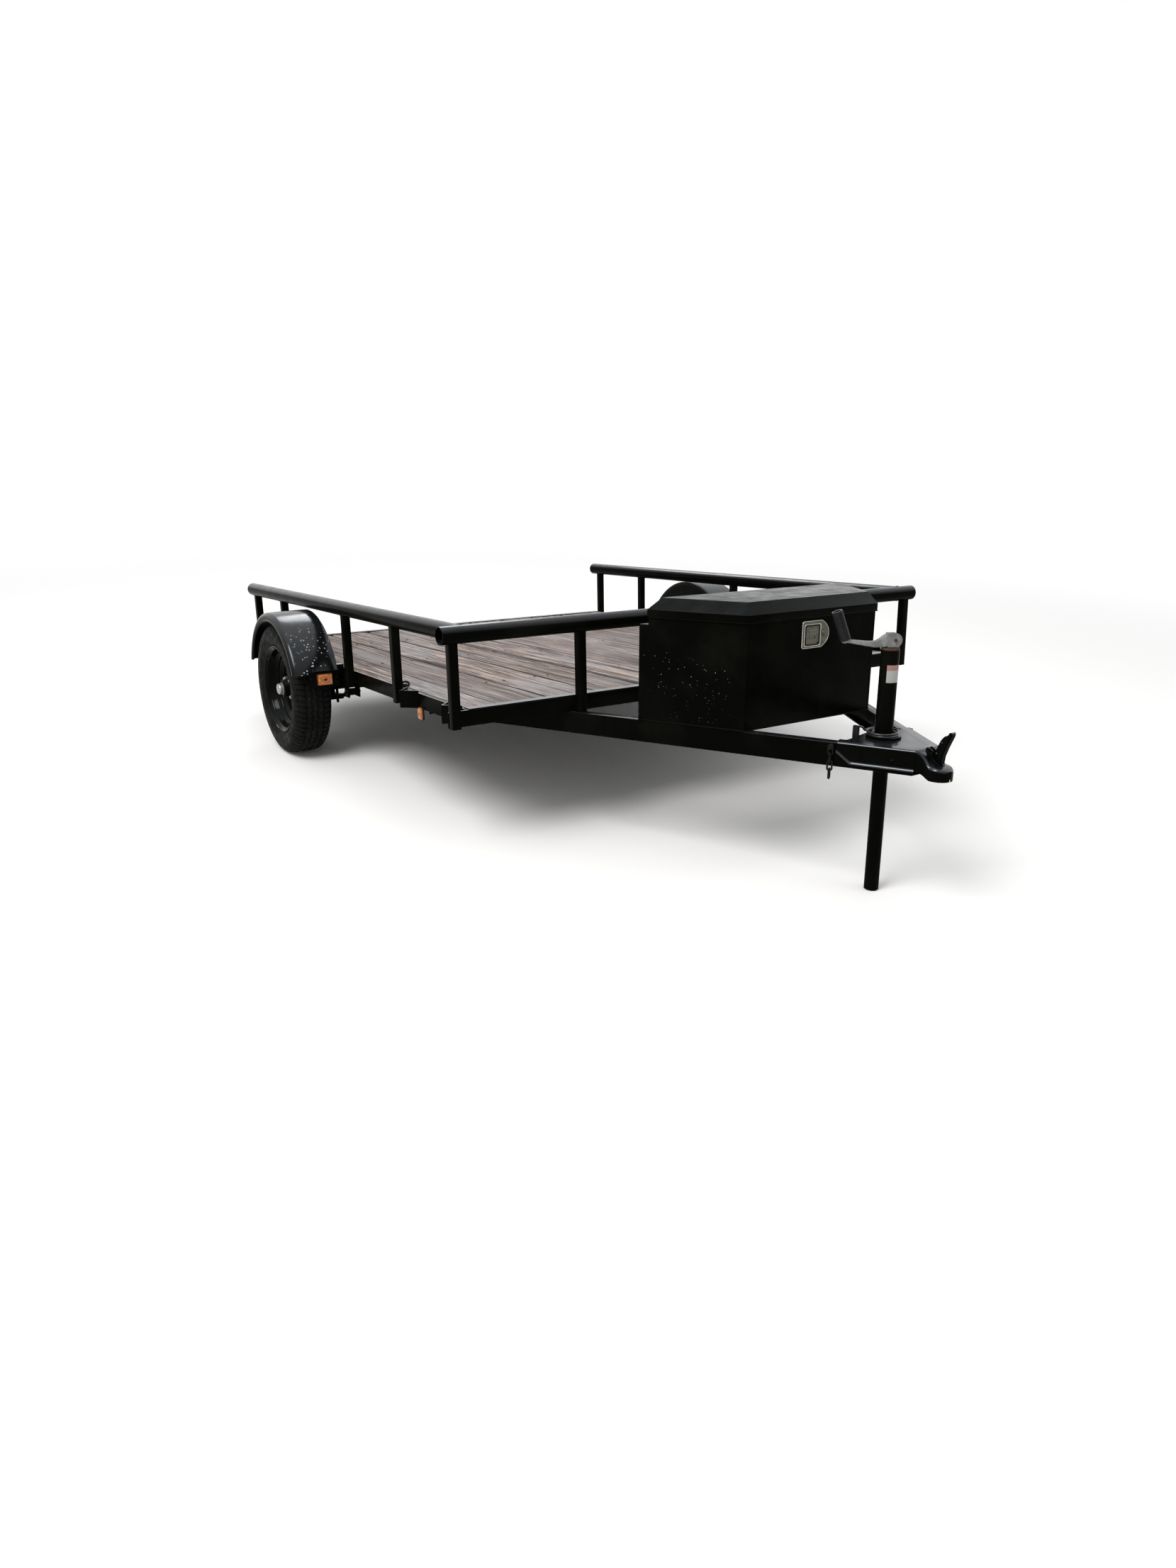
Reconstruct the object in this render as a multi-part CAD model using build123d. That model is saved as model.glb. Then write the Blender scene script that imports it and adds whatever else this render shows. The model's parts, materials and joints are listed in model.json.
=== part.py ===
from build123d import *
from math import sin, cos, tan, atan2, radians, degrees, sqrt, hypot, pi
import os

# Single-axle utility trailer: plank bed, pipe top rail, A-frame tongue with toolbox and jack.
# Millimetres. The trailer is drawn level, with X across it, Y from the front lip to the rear
# and Z = 0 on the deck boards. "near" is the -X side. It is then set down on its wheels and
# jack leg, nose a little up, with the ground at Z = 0.

os.makedirs("parts", exist_ok=True)

# ---- driving dimensions -------------------------------------------------------------------
nose_up = 4.75            # pitch of the parked trailer, degrees
tongue_drop = 1.5         # the tongue's droop from the bed, degrees
past = 1                  # a cut runs this far past the face that it opens
lead_bend_share = 0.45    # of the shorter run beside a corner of the cable
running_gap = 0.5         # between parts that turn or slide

bed_length = 2310         # over the front and rear lips
bed_half = 1024           # centre to the outer face of a side member
edge_height = 55          # height of the steel edge round the bed
edge_wall = 5
ledge_width = 52          # ledge that carries the board ends and the cross members

board_thick = 38
board_pitch = 203
board_gap = 4
board_clear = 1           # between the boards and the steel edge
first_board = 138         # ripped board along the near edge
narrowest_board = 30

cross_leg = 51            # angle iron under the boards
cross_wall = 5
cross_places = [420, 1130, 1790]

rail_od = 60.3            # pipe rail
rail_wall = 3.9
rail_height = 255         # pipe centre above the boards
rail_past_bed = 40        # the side pipes run on past the rear lip
pipe_past_corner = 42     # the front pipe runs on past its corner posts
post_size = 32            # square posts
corner_out = 38           # corner post outboard of the side pipe
front_middle_x = 584
side_front_post_y = 545
fore_wheel_post = 406     # side posts ahead of and behind the axle
aft_wheel_post = 399
rear_post_inset = 30      # rear posts ahead of the rear lip

pocket_leg = 76           # stake pockets of angle iron on the side members
pocket_wall = 6
pocket_places = [90, 443]
pocket_rise = 10          # above the boards

axle_y = 1456
axle_z = -113
axle_od = 60
axle_seat_length = 64     # spring pad on the axle, along the trailer
axle_seat_drop = 6        # pad below the axle's underside
spring_width = 40
spring_span = 620         # eye to eye
leaf_thick = 8
leaf_bite = 0.5           # leaves pressed into one another, so that they join
leaf_count = 3
leaf_step = 0.27          # each lower leaf is shorter by this share of the main leaf
eye_od = 30
eye_rise = 42             # eyes above the middle of the main leaf
hanger_wall = 5
hanger_length = 48
hanger_drop = 22          # hanger below the middle of its eye
pin_od = 14
pin_past_leaf = 14
u_bolt_od = 12
u_bolt_spread = 54        # across the leaf
u_bolt_pitch = 78         # along the leaf
u_bolt_end = 16           # thread below the spring plate
spring_plate = (72, 96, 8)

tyre_od = 570
tyre_width = 165
wheel_out = 130           # wheel's centre plane outboard of the bed
rim_od = 381
rim_width = 140
rim_wall = 5
disc_wall = 6
hub_od = 76
hub_reach = 50            # hub outboard of the disc
hub_inner = 72            # hub inboard of the disc
flange_past_studs = 17    # hub flange beyond the stud circle
hub_flange_thick = 10
cap_od = 50
cap_length = 22
cap_space = 8             # between the spindle's end and the hub's outer face
spindle_od = 30
stud_circle = 100
stud_reach = 16
lug_count = 4
stud_od = 12
hand_hole_od = 32
hand_hole_circle = 224
hand_hole_count = 8

fender_under_rail = 1.85  # between the fender's top and the pipe
fender_wall = 3
fender_side_clear = 15.5  # between the tyre and the fender's inner plate
fender_past_tyre = 25     # the fender is wider than the tyre
fender_bottom = -15
fender_lip = 16
bracket_length = 40       # fender brackets on the side member
bracket_places = (-300, 260)
bracket_drop = 25         # below the fender's bottom edge
bracket_rise = 30

tongue_half = 623         # centre to the outer face of a tongue channel, at the front lip
tongue_angle = 28.5       # of each channel from the centre line, degrees
channel_height = 76
channel_flange = 36
channel_flange_thick = 6
channel_web = 5
channel_front = -1046
channel_past_cross = 20   # the channels run on past the front of cross member 1

coupler_rear = -840
coupler_front = -1050     # front end of its arms
coupler_plate = 5
coupler_skirt = 66
skirt_corner_run = 40     # slanted cut at the skirt's lower rear corner, along the trailer
skirt_corner_rise = 34
arm_width = 46
jack_land = 66            # plate rearward of the jack's axis
land_half = 12
neck_half = 46
neck_bite = 2             # neck into the arms' plate
neck_top = 14             # level top of the neck, along the trailer
ball_y = -1100
ball_od = 50.8            # 2 inch ball
ball_clear = 2            # on the diameter
nose_od = 84
nose_low = -136
nose_height = 42
socket_roof = 14
latch_y = -1058           # foot of the coupler's latch lever
latch_width = 14
latch_foot = 14
latch_foot_height = 8
latch_lever = 84
latch_lever_thick = 8
latch_rise = 34           # degrees above level, towards the nose

jack_y = -878
jack_od = 57
jack_wall = 4.5
jack_cap = 4
jack_top = 235
jack_bottom = -150
leg_clear = 0.3
leg_overlap = 80          # of the leg inside its tube as parked
flange_od = 110
flange_thick = 8
crank_reach = 146
crank_turn = 30           # parked crank, degrees from straight out to the near side
crank_bar = 22
crank_bar_thick = 8
crank_bar_rise = 10       # arm above the foot of the crank's boss
crank_boss_od = 34
crank_boss_height = 26
stem_od = 16
stem_length = 20
grip_inset = 4            # grip's axis inboard of the arm's end
grip_od = 34
grip_length = 95
grip_lift = 5             # grip's lower end above the arm
grip_lean = 20            # degrees from upright

box_rear = -236           # rear face of the toolbox
box_front = -570
box_middle = -22          # its near side lies over the outer face of the near channel
box_rear_half = 473
box_front_half = 291.5
box_height = 360          # without its lid
box_ledge = 33            # of the fixed strip below the rim
box_wall = 2.5
box_support_width = 50    # strap between the channels, under the rear of the box
lid_setback = 29          # fixed strip behind the lid
hinge_od = 8
hinge_half = 360
hinge_sink = 0.5          # of its barrel into the rear wall
hinge_clear = 0.5         # between the rim and the lid's rear edge
lid_skirt = 27
lid_lift = 17             # top of the skirt above the box
lid_bevel = 32
lid_rear_bevel = 19
lid_rise = 38             # of the bevel
lid_wall = 2
lid_gap = 3               # between the lid's skirt and the box
paddle_near = -77         # paddle latch plate, by its edges
paddle_far = 15
paddle_drop = 20          # from the box's rim to the plate's top
paddle_tall = 91
paddle_thick = 3
paddle_point = 33         # of the lug beside the plate
paddle_shoulder = 16      # plate's edge above and below the lug
lock_od = 22
lock_proud = 5            # of the plate

cable_od = 6
coil_x = -6               # middle of the loose turns round the jack's foot
coil_inner = 80
coil_outer = 116
coil_height = 14
gland_turn = 60           # degrees from +X, round the turns' middle
gland_width = 12
gland_depth = 16
gland_rise = 6            # above the turns
gland_in_coil = 2         # its block before the turns are cut out of it
plug_width = 22
plug_thick = 12
plug_lead_drop = 7.5      # lead's middle below the plug's top
# the lead's route from inside the turns to the plug
lead_route = [(-40, -836, -34), (-54, -839, -20), (-72, -843, -13.5), (-90, -848, -13.5)]

chain_links = 4
chain_wire = 6
chain_inside = (9, 26.5)  # across a link and along it
chain_bevel = 2
chain_gap = 0.5           # between links
chain_behind_arm = 16     # pin's place behind the coupler's arms, along the channel
chain_pin_od = 8
chain_pin_drop = 11       # below the channel's top
chain_out = 11.5          # chain's middle out from the channel's face
chain_pin_length = 16
chain_head_od = 18
chain_head_thick = 3

lamp_plate_thick = 4      # bracket that hangs from the fender's front edge
lamp_plate_drop = 56
lamp_plate_rise = 12
lamp_plate_edge = 61      # bracket's outer edge short of the fender's
fender_lamp_size = (70, 20, 52)
fender_lamp_rise = 4      # lamp's top above the fender's bottom edge
frame_lamp_y = 350
frame_lamp_size = (16, 30, 50)
tail_lamp_inset = 40      # tail lamp in from the bed's side
tail_lamp_size = (110, 30, 50)

# ---- helpers ------------------------------------------------------------------------------
parts = {}


def block(x0, x1, y0, y1, z0, z1):
    size = Box(abs(x1 - x0), abs(y1 - y0), abs(z1 - z0))
    return Pos((x0 + x1) / 2, (y0 + y1) / 2, (z0 + z1) / 2) * size


def rod_x(x0, x1, y, z, od):
    return Pos((x0 + x1) / 2, y, z) * Rot(0, 90, 0) * Cylinder(od / 2, abs(x1 - x0))


def rod_y(x, y0, y1, z, od):
    return Pos(x, (y0 + y1) / 2, z) * Rot(90, 0, 0) * Cylinder(od / 2, abs(y1 - y0))


def rod_z(x, y, z0, z1, od):
    return Pos(x, y, (z0 + z1) / 2) * Cylinder(od / 2, abs(z1 - z0))


def slab(points, z0, z1):
    face = make_face(Polyline(*[(x, y, z0) for x, y in points], close=True))
    return extrude(face, amount=z1 - z0, dir=(0, 0, 1))


def plate_along_x(points, x0, x1):
    face = make_face(Polyline(*[(x0, y, z) for y, z in points], close=True))
    return extrude(face, amount=x1 - x0, dir=(1, 0, 0))


def turned(points, x, y, z):
    # a ring turned round an axis along X, from (radius, distance along the axis) points
    face = make_face(Polyline(*[(radius, 0, along) for radius, along in points], close=True))
    return Pos(x, y, z) * Rot(0, 90, 0) * revolve(face, axis=Axis.Z, revolution_arc=360)


def other_side(shape):
    return mirror(shape, about=Plane.YZ)


def both_sides(name, shape):
    parts["near_" + name] = shape
    parts["far_" + name] = other_side(shape)


# ---- bed ----------------------------------------------------------------------------------
edge_inside = bed_half - edge_wall
ledge_top = -board_thick
ledge_inside = bed_half - ledge_width
spring_x = bed_half - hanger_wall - spring_width / 2 - 2 * running_gap
eye_z = axle_z - axle_od / 2 - leaf_thick / 2 + eye_rise


def stake_pocket(y):
    reach = pocket_leg / sqrt(2)
    inner = reach - pocket_wall * sqrt(2)
    side = -bed_half
    outer_v = [(side, y - reach), (side - reach, y), (side, y + reach)]
    inner_v = [(side + past, y - inner - past), (side - inner, y), (side + past, y + inner + past)]
    return slab(outer_v, -edge_height, pocket_rise) - slab(inner_v, -edge_height - past, pocket_rise + past)


def spring_hanger(y):
    inside = spring_width / 2 + running_gap
    plate = block(inside, inside + hanger_wall, y - hanger_length / 2, y + hanger_length / 2,
                  eye_z - hanger_drop, ledge_top - edge_wall)
    pair = Pos(-spring_x, 0, 0) * (plate + other_side(plate))
    return pair - rod_x(-bed_half - past, -spring_x + bed_half, y, eye_z, pin_od + 2 * running_gap)


def side_member():
    front = edge_wall
    rear = bed_length - edge_wall
    shape = block(-bed_half, -edge_inside, front, rear, -edge_height, 0)
    shape += block(-edge_inside, -ledge_inside, front, rear, ledge_top - edge_wall, ledge_top)
    for y in (axle_y - spring_span / 2, axle_y + spring_span / 2):
        shape += spring_hanger(y)
    return shape


both_sides("side_member", side_member())
for number, y in enumerate(pocket_places, 1):
    both_sides(f"stake_pocket_{number}", stake_pocket(y))

rail_x = bed_half + post_size / 2
corner_x = rail_x + corner_out
front_half = corner_x + post_size / 2
front_web = block(-front_half, front_half, 0, edge_wall, -edge_height, 0)
front_ledge = block(-ledge_inside, ledge_inside, edge_wall, ledge_width, ledge_top - edge_wall, ledge_top)
parts["front_member"] = front_web + front_ledge

rear_web = block(-bed_half, bed_half, bed_length - edge_wall, bed_length, -edge_height, 0)
rear_ledge = block(-ledge_inside, ledge_inside, bed_length - ledge_width, bed_length - edge_wall,
                   ledge_top - edge_wall, ledge_top)
parts["rear_member"] = rear_web + rear_ledge

for number, y in enumerate(cross_places, 1):
    flat = block(-ledge_inside, ledge_inside, y, y + cross_leg, ledge_top - cross_wall, ledge_top)
    leg = block(-ledge_inside, ledge_inside, y, y + cross_wall, ledge_top - cross_leg, ledge_top)
    parts[f"cross_member_{number}"] = flat + leg

board_edges = [-edge_inside + board_clear, -edge_inside + first_board]
while board_edges[-1] + board_pitch < edge_inside - narrowest_board:
    board_edges.append(board_edges[-1] + board_pitch)
board_edges.append(edge_inside - board_clear + board_gap)
board_front = edge_wall + board_clear
boards = [
    block(x0, x1 - board_gap, board_front, bed_length - board_front, -board_thick, 0)
    for x0, x1 in zip(board_edges, board_edges[1:])
]
parts["deck_boards"] = Compound(children=boards)

# ---- rails and posts ----------------------------------------------------------------------
front_rail_y = -post_size / 2
front_rail_half = corner_x + pipe_past_corner
rail_bore = rail_od - 2 * rail_wall

front_pipe = rod_x(-front_rail_half, front_rail_half, front_rail_y, rail_height, rail_od)
front_bore = rod_x(-front_rail_half - past, front_rail_half + past, front_rail_y, rail_height, rail_bore)
parts["front_rail"] = front_pipe - front_bore
rail_end = bed_length + rail_past_bed
side_pipe = rod_y(-rail_x, front_rail_y, rail_end, rail_height, rail_od)
side_bore = rod_y(-rail_x, front_rail_y - past, rail_end + past, rail_height, rail_bore)
both_sides("side_rail", side_pipe - side_bore - front_pipe)


def post(x, y, pipe):
    half = post_size / 2
    return block(x - half, x + half, y - half, y + half, -edge_height, rail_height) - pipe


side_post_places = {
    "side_front": side_front_post_y,
    "side_fore_wheel": axle_y - fore_wheel_post,
    "side_aft_wheel": axle_y + aft_wheel_post,
    "side_rear": bed_length - rear_post_inset,
}
for name, y in side_post_places.items():
    both_sides(name + "_post", post(-rail_x, y, side_pipe))
both_sides("front_corner_post", post(-corner_x, front_rail_y, front_pipe))
both_sides("front_middle_post", post(-front_middle_x, front_rail_y, front_pipe))

# ---- running gear -------------------------------------------------------------------------
wheel_x = bed_half + wheel_out
leaf_mid_z = axle_z - axle_od / 2 - axle_seat_drop - leaf_thick / 2
spindle_end = wheel_x + hub_reach - cap_space
beam_end = wheel_x - hub_inner - cap_space / 2


def leaf(half_span, z, rise):
    radius = (half_span ** 2 + rise ** 2) / (2 * rise)
    ring = Cylinder(radius + leaf_thick / 2, spring_width)
    ring -= Cylinder(radius - leaf_thick / 2, spring_width + 2 * past)
    ring = Pos(-spring_x, axle_y, z + radius) * Rot(0, 90, 0) * ring
    keep = block(-spring_x - spring_width, -spring_x + spring_width, axle_y - half_span, axle_y + half_span,
                 z - leaf_thick, z + rise + 2 * leaf_thick)
    return ring & keep


def u_bolts():
    width, length, thick = spring_plate
    top = leaf_mid_z + leaf_thick / 2 - leaf_count * leaf_thick + leaf_count * leaf_bite
    shape = Pos(-spring_x, axle_y, top - thick / 2) * Box(width, length, thick)
    for x in (-spring_x - u_bolt_spread / 2, -spring_x + u_bolt_spread / 2):
        for y in (axle_y - u_bolt_pitch / 2, axle_y + u_bolt_pitch / 2):
            shape += rod_z(x, y, top - thick - u_bolt_end, axle_z, u_bolt_od)
    return shape


def leaf_spring():
    half_span = spring_span / 2
    rise = eye_z - leaf_mid_z
    shape = leaf(half_span, leaf_mid_z, rise)
    for number in range(1, leaf_count):
        share = 1 - number * leaf_step
        shape += leaf(half_span * share, leaf_mid_z - number * (leaf_thick - leaf_bite), rise * share ** 2)
    eye_half = spring_width / 2
    pin_half = eye_half + pin_past_leaf
    for y in (axle_y - half_span, axle_y + half_span):
        shape += rod_x(-spring_x - eye_half, -spring_x + eye_half, y, eye_z, eye_od)
        shape += rod_x(-spring_x - pin_half, -spring_x + pin_half, y, eye_z, pin_od)
    return shape + u_bolts()


def axle():
    seat = Pos(-spring_x, axle_y, (leaf_mid_z + leaf_thick / 2 + axle_z) / 2)
    seat *= Box(spring_width, axle_seat_length, axle_z - leaf_mid_z - leaf_thick / 2)
    shape = rod_x(-beam_end, beam_end, axle_y, axle_z, axle_od)
    shape += rod_x(-spindle_end, spindle_end, axle_y, axle_z, spindle_od)
    return shape + seat + other_side(seat)


both_sides("leaf_spring", leaf_spring())
parts["axle"] = axle() - parts["near_leaf_spring"] - parts["far_leaf_spring"]


def around_axle(count, circle, first):
    turns = [radians(first + 360 / count * step) for step in range(count)]
    return [(axle_y + circle / 2 * cos(turn), axle_z + circle / 2 * sin(turn)) for turn in turns]


lug_places = around_axle(lug_count, stud_circle, 45)
hand_hole_places = around_axle(hand_hole_count, hand_hole_circle, 180 / hand_hole_count)

# rim section: depth below the flange's edge, and distance in from the rim's nearer side
rim_steps = [(0, 0), (0, 6), (16, 12), (20, 38), (34, 50)]
rim_hollow = [(7, 0), (21, 9), (25, 34)]
rim_well = (rim_steps[-1][0] + rim_wall, 46)

# tyre section, from the bead out to the tread's middle: each point's radius past what it is
# set from, and its distance in from that part's side
tyre_bead = (-14.5, 13)     # from the flange's edge, and the rim's side
tyre_on_flange = [(1, 6.5), (6, 0)]
tyre_sidewall = (29, 0)     # from the flange's edge, and the tyre's side
tyre_shoulder = [(32, 2), (8, 15), (0, 28)]
cavity_tread = [(14, 40), (30, 20)]
cavity_side = (23, 20)
cavity_bead = (3, 24)       # from the bead, and the rim's side


def wheel():
    edge = rim_od / 2
    tyre_side = [(edge - depth, along) for depth, along in rim_steps]
    tyre_side += [(edge - depth, rim_width - along) for depth, along in reversed(rim_steps)]
    well = rim_well[0]
    hollow = rim_hollow + [rim_well]
    hollow_side = [(edge - depth, rim_width - along) for depth, along in hollow]
    hollow_side += [(edge - depth, along) for depth, along in reversed(hollow)]
    rim = turned(tyre_side + hollow_side, -wheel_x - rim_width / 2, axle_y, axle_z)
    disc_from = -wheel_x - disc_wall / 2
    disc_to = -wheel_x + disc_wall / 2
    shape = rim + rod_x(disc_from, disc_to, axle_y, axle_z, 2 * (edge - well) + past)
    shape -= rod_x(disc_from - past, disc_to + past, axle_y, axle_z, hub_od + 2 * running_gap)
    for y, z in lug_places:
        shape -= rod_x(disc_from - past, disc_to + past, y, z, stud_od + 2 * running_gap)
    for y, z in hand_hole_places:
        shape -= rod_x(disc_from - past, disc_to + past, y, z, hand_hole_od)
    return shape


def tyre():
    tread = tyre_od / 2
    half = tyre_width / 2
    flange = rim_od / 2
    bead = flange + tyre_bead[0]
    rim_half = rim_width / 2
    outside = [(bead, rim_half - tyre_bead[1])]
    outside += [(flange + past_edge, rim_half - inset) for past_edge, inset in tyre_on_flange]
    outside.append((flange + tyre_sidewall[0], half - tyre_sidewall[1]))
    outside += [(tread - depth, half - inset) for depth, inset in tyre_shoulder]
    inside = [(tread - depth, half - inset) for depth, inset in cavity_tread]
    inside.append((flange + cavity_side[0], half - cavity_side[1]))
    inside.append((bead + cavity_bead[0], rim_half - cavity_bead[1]))
    outline = outside + [(radius, -along) for radius, along in reversed(outside)]
    outline += [(radius, -along) for radius, along in reversed(inside)] + inside
    return turned(outline, -wheel_x, axle_y, axle_z)


def hub():
    disc_inner = -wheel_x + disc_wall / 2
    flange_inner = disc_inner + hub_flange_thick
    face = -wheel_x - hub_reach
    shape = rod_x(face, disc_inner, axle_y, axle_z, hub_od)
    shape += rod_x(disc_inner, flange_inner, axle_y, axle_z, stud_circle + 2 * flange_past_studs)
    shape += rod_x(flange_inner, -wheel_x + hub_inner, axle_y, axle_z, hub_od)
    shape += rod_x(face - cap_length, face, axle_y, axle_z, cap_od)
    shape -= rod_x(-spindle_end - cap_space / 4, 0, axle_y, axle_z, spindle_od + 2 * running_gap)
    for y, z in lug_places:
        shape += rod_x(-wheel_x - disc_wall / 2 - stud_reach, disc_inner + past, y, z, stud_od)
    return shape


both_sides("wheel_rim", wheel())
both_sides("tyre", tyre())
both_sides("hub", hub())

fender_radius = rail_height - rail_od / 2 - fender_under_rail - axle_z
fender_inner = -(wheel_x - tyre_width / 2 - fender_side_clear)
fender_outer = fender_inner - tyre_width - fender_past_tyre
fender_front_y = axle_y - sqrt(fender_radius ** 2 - (fender_bottom - axle_z) ** 2)


def fender():
    keep = block(fender_outer - past, fender_inner + past,
                 axle_y - 2 * fender_radius, axle_y + 2 * fender_radius, fender_bottom, fender_radius)
    drum = rod_x(fender_outer, fender_inner, axle_y, axle_z, 2 * fender_radius)
    drum -= rod_x(fender_outer - past, fender_inner + past, axle_y, axle_z, 2 * (fender_radius - fender_wall))
    lip = rod_x(fender_outer, fender_outer + fender_wall, axle_y, axle_z, 2 * fender_radius)
    lip -= rod_x(fender_outer - past, fender_outer + fender_wall + past, axle_y, axle_z,
                 2 * (fender_radius - fender_lip))
    plate = rod_x(fender_inner - fender_wall, fender_inner, axle_y, axle_z, 2 * fender_radius)
    shape = (drum + lip + plate) & keep
    for place in bracket_places:
        y = axle_y + place
        shape += block(fender_inner - fender_wall, -bed_half, y, y + bracket_length,
                       fender_bottom - bracket_drop, fender_bottom + bracket_rise)
    return shape


def lamp_plate():
    return block(fender_outer + lamp_plate_edge, fender_inner,
                 fender_front_y, fender_front_y + lamp_plate_thick,
                 fender_bottom - lamp_plate_drop, fender_bottom + lamp_plate_rise)


both_sides("fender", fender() + lamp_plate())

# ---- tongue -------------------------------------------------------------------------------
tongue_top = -edge_height
tongue_seat_y = edge_wall
tongue_set = Pos(0, tongue_seat_y, tongue_top) * Rot(tongue_drop, 0, 0) * Pos(0, -tongue_seat_y, -tongue_top)
slope = tan(radians(tongue_angle))
across = 1 / cos(radians(tongue_angle))
plate_top = tongue_top + coupler_plate
skirt_low = plate_top - coupler_skirt
channel_rear = cross_places[0] + channel_past_cross
tongue_parts = {}


def tongue_x(y):
    return -(tongue_half + slope * y)


def tongue_band(inset0, inset1, y0, y1, z0, z1):
    a = inset0 * across
    b = inset1 * across
    points = [(tongue_x(y0) + a, y0), (tongue_x(y0) + b, y0), (tongue_x(y1) + b, y1), (tongue_x(y1) + a, y1)]
    return slab(points, z0, z1)


def channel():
    low = tongue_top - channel_height
    shape = tongue_band(0, channel_web, channel_front, channel_rear, low, tongue_top)
    for z in (low, tongue_top - channel_flange_thick):
        shape += tongue_band(0, channel_flange, channel_front, channel_rear, z, z + channel_flange_thick)
    return shape


def coupler():
    arm_rear = tongue_x(coupler_rear)
    land = jack_y + jack_land
    near_edge = [(-land_half, land), (arm_rear + arm_width * across, coupler_rear),
                 (arm_rear - coupler_plate * across, coupler_rear),
                 (tongue_x(coupler_front) - coupler_plate * across, coupler_front)]
    far_edge = [(-x, y) for x, y in reversed(near_edge)]
    shape = slab(near_edge + far_edge, tongue_top, plate_top)
    shape -= rod_z(0, jack_y, tongue_top - past, plate_top + past, jack_od + 2 * running_gap)
    skirt = tongue_band(-coupler_plate, 0, coupler_front, coupler_rear, skirt_low, plate_top)
    shape += skirt + other_side(skirt)
    cut_y = coupler_rear + past
    corner = [(cut_y, skirt_low + skirt_corner_rise), (cut_y, skirt_low - past),
              (coupler_rear - skirt_corner_run, skirt_low - past)]
    shape -= plate_along_x(corner, -tongue_half, tongue_half)
    nose_high = nose_low + nose_height
    neck_rear = coupler_front + neck_bite
    neck = [(neck_rear, plate_top), (coupler_front - neck_top, plate_top), (ball_y, nose_high),
            (ball_y, nose_low), (neck_rear, skirt_low)]
    shape += plate_along_x(neck, -neck_half, neck_half)
    shape += rod_z(0, ball_y, nose_low, nose_high, nose_od)
    return shape - rod_z(0, ball_y, nose_low - past, nose_high - socket_roof, ball_od + ball_clear)


def coupler_latch():
    foot_top = plate_top + latch_foot_height
    foot = block(-latch_width / 2, latch_width / 2,
                 latch_y - latch_foot / 2 + neck_bite, latch_y + latch_foot / 2, plate_top, foot_top)
    lever = Box(latch_width, latch_lever_thick, latch_lever, align=(Align.CENTER, Align.CENTER, Align.MIN))
    return foot + Pos(0, latch_y, foot_top - latch_foot_height / 4) * Rot(90 - latch_rise, 0, 0) * lever


tongue_parts["near_tongue_channel"] = channel()
tongue_parts["far_tongue_channel"] = other_side(channel())
tongue_parts["coupler"] = coupler()
tongue_parts["coupler_latch"] = coupler_latch()

# jack: a fixed tube with its flange, a leg that slides in it, and a crank on top
jack_bore = jack_od - 2 * jack_wall
leg_od = jack_bore - 2 * leg_clear
flange_top = plate_top + flange_thick
jack_tube = rod_z(0, jack_y, jack_bottom, jack_top, jack_od)
jack_tube += rod_z(0, jack_y, plate_top, flange_top, flange_od)
tongue_parts["jack_tube"] = jack_tube - rod_z(0, jack_y, jack_bottom - past, jack_top - jack_cap, jack_bore)


def to_bed(y, z):
    turn = radians(tongue_drop)
    dy = y - tongue_seat_y
    dz = z - tongue_top
    return (tongue_seat_y + dy * cos(turn) - dz * sin(turn), tongue_top + dy * sin(turn) + dz * cos(turn))


def height_over_ground(y, z):
    lean = radians(nose_up)
    return tyre_od / 2 - (y - axle_y) * sin(lean) + (z - axle_z) * cos(lean)


# the leg's square end stands on the ground with its rear edge
leg_edge_height = height_over_ground(*to_bed(jack_y + leg_od / 2, 0))
leg_bottom = -leg_edge_height / cos(radians(nose_up - tongue_drop))
tongue_parts["jack_leg"] = rod_z(0, jack_y, leg_bottom, jack_bottom + leg_overlap, leg_od)

crank_foot = jack_top + running_gap
arm_low = crank_foot + crank_bar_rise
arm_high = arm_low + crank_bar_thick
crank = rod_z(0, 0, crank_foot, crank_foot + crank_boss_height, crank_boss_od)
crank += block(-crank_reach, 0, -crank_bar / 2, crank_bar / 2, arm_low, arm_high)
grip_axis = Pos(grip_inset - crank_reach, 0, arm_high) * Rot(0, -grip_lean, 0)
grip = grip_axis * Pos(0, 0, grip_lift + grip_length / 2) * Cylinder(grip_od / 2, grip_length)
stem_middle = grip_lift + stem_length / 2 - crank_bar_thick
stem = grip_axis * Pos(0, 0, stem_middle) * Cylinder(stem_od / 2, stem_length)
crank_set = Pos(0, jack_y, 0) * Rot(0, 0, -crank_turn)
tongue_parts["jack_crank"] = crank_set * (crank + stem - grip)
tongue_parts["jack_grip"] = crank_set * grip

# toolbox
box_top = tongue_top + box_height
box_taper = (box_rear_half - box_front_half) / (box_rear - box_front)


def box_half(y, inset):
    return box_rear_half + box_taper * (y - box_rear) - inset * hypot(1, box_taper)


def box_outline(inset, y0, y1):
    half0 = box_half(y0, inset)
    half1 = box_half(y1, inset)
    return [(box_middle - half0, y0), (box_middle + half0, y0),
            (box_middle + half1, y1), (box_middle - half1, y1)]


lid_rear = box_rear - lid_setback
ledge = box_top - box_ledge
box_body = slab(box_outline(0, box_rear, box_front), tongue_top, ledge)
box_body += slab(box_outline(0, lid_rear, box_front), ledge, box_top)
low_room = box_outline(box_wall, box_rear - box_wall, box_front + box_wall)
box_body -= slab(low_room, tongue_top + box_wall, ledge - box_wall)
high_room = box_outline(box_wall, lid_rear - box_wall, box_front + box_wall)
box_body -= slab(high_room, ledge - box_wall, box_top + past)
hinge_y = lid_rear - hinge_sink + hinge_od / 2
hinge_z = box_top - hinge_od / 2
hinge = rod_x(box_middle - hinge_half, box_middle + hinge_half, hinge_y, hinge_z, hinge_od)
tongue_parts["toolbox"] = box_body + hinge

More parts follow.
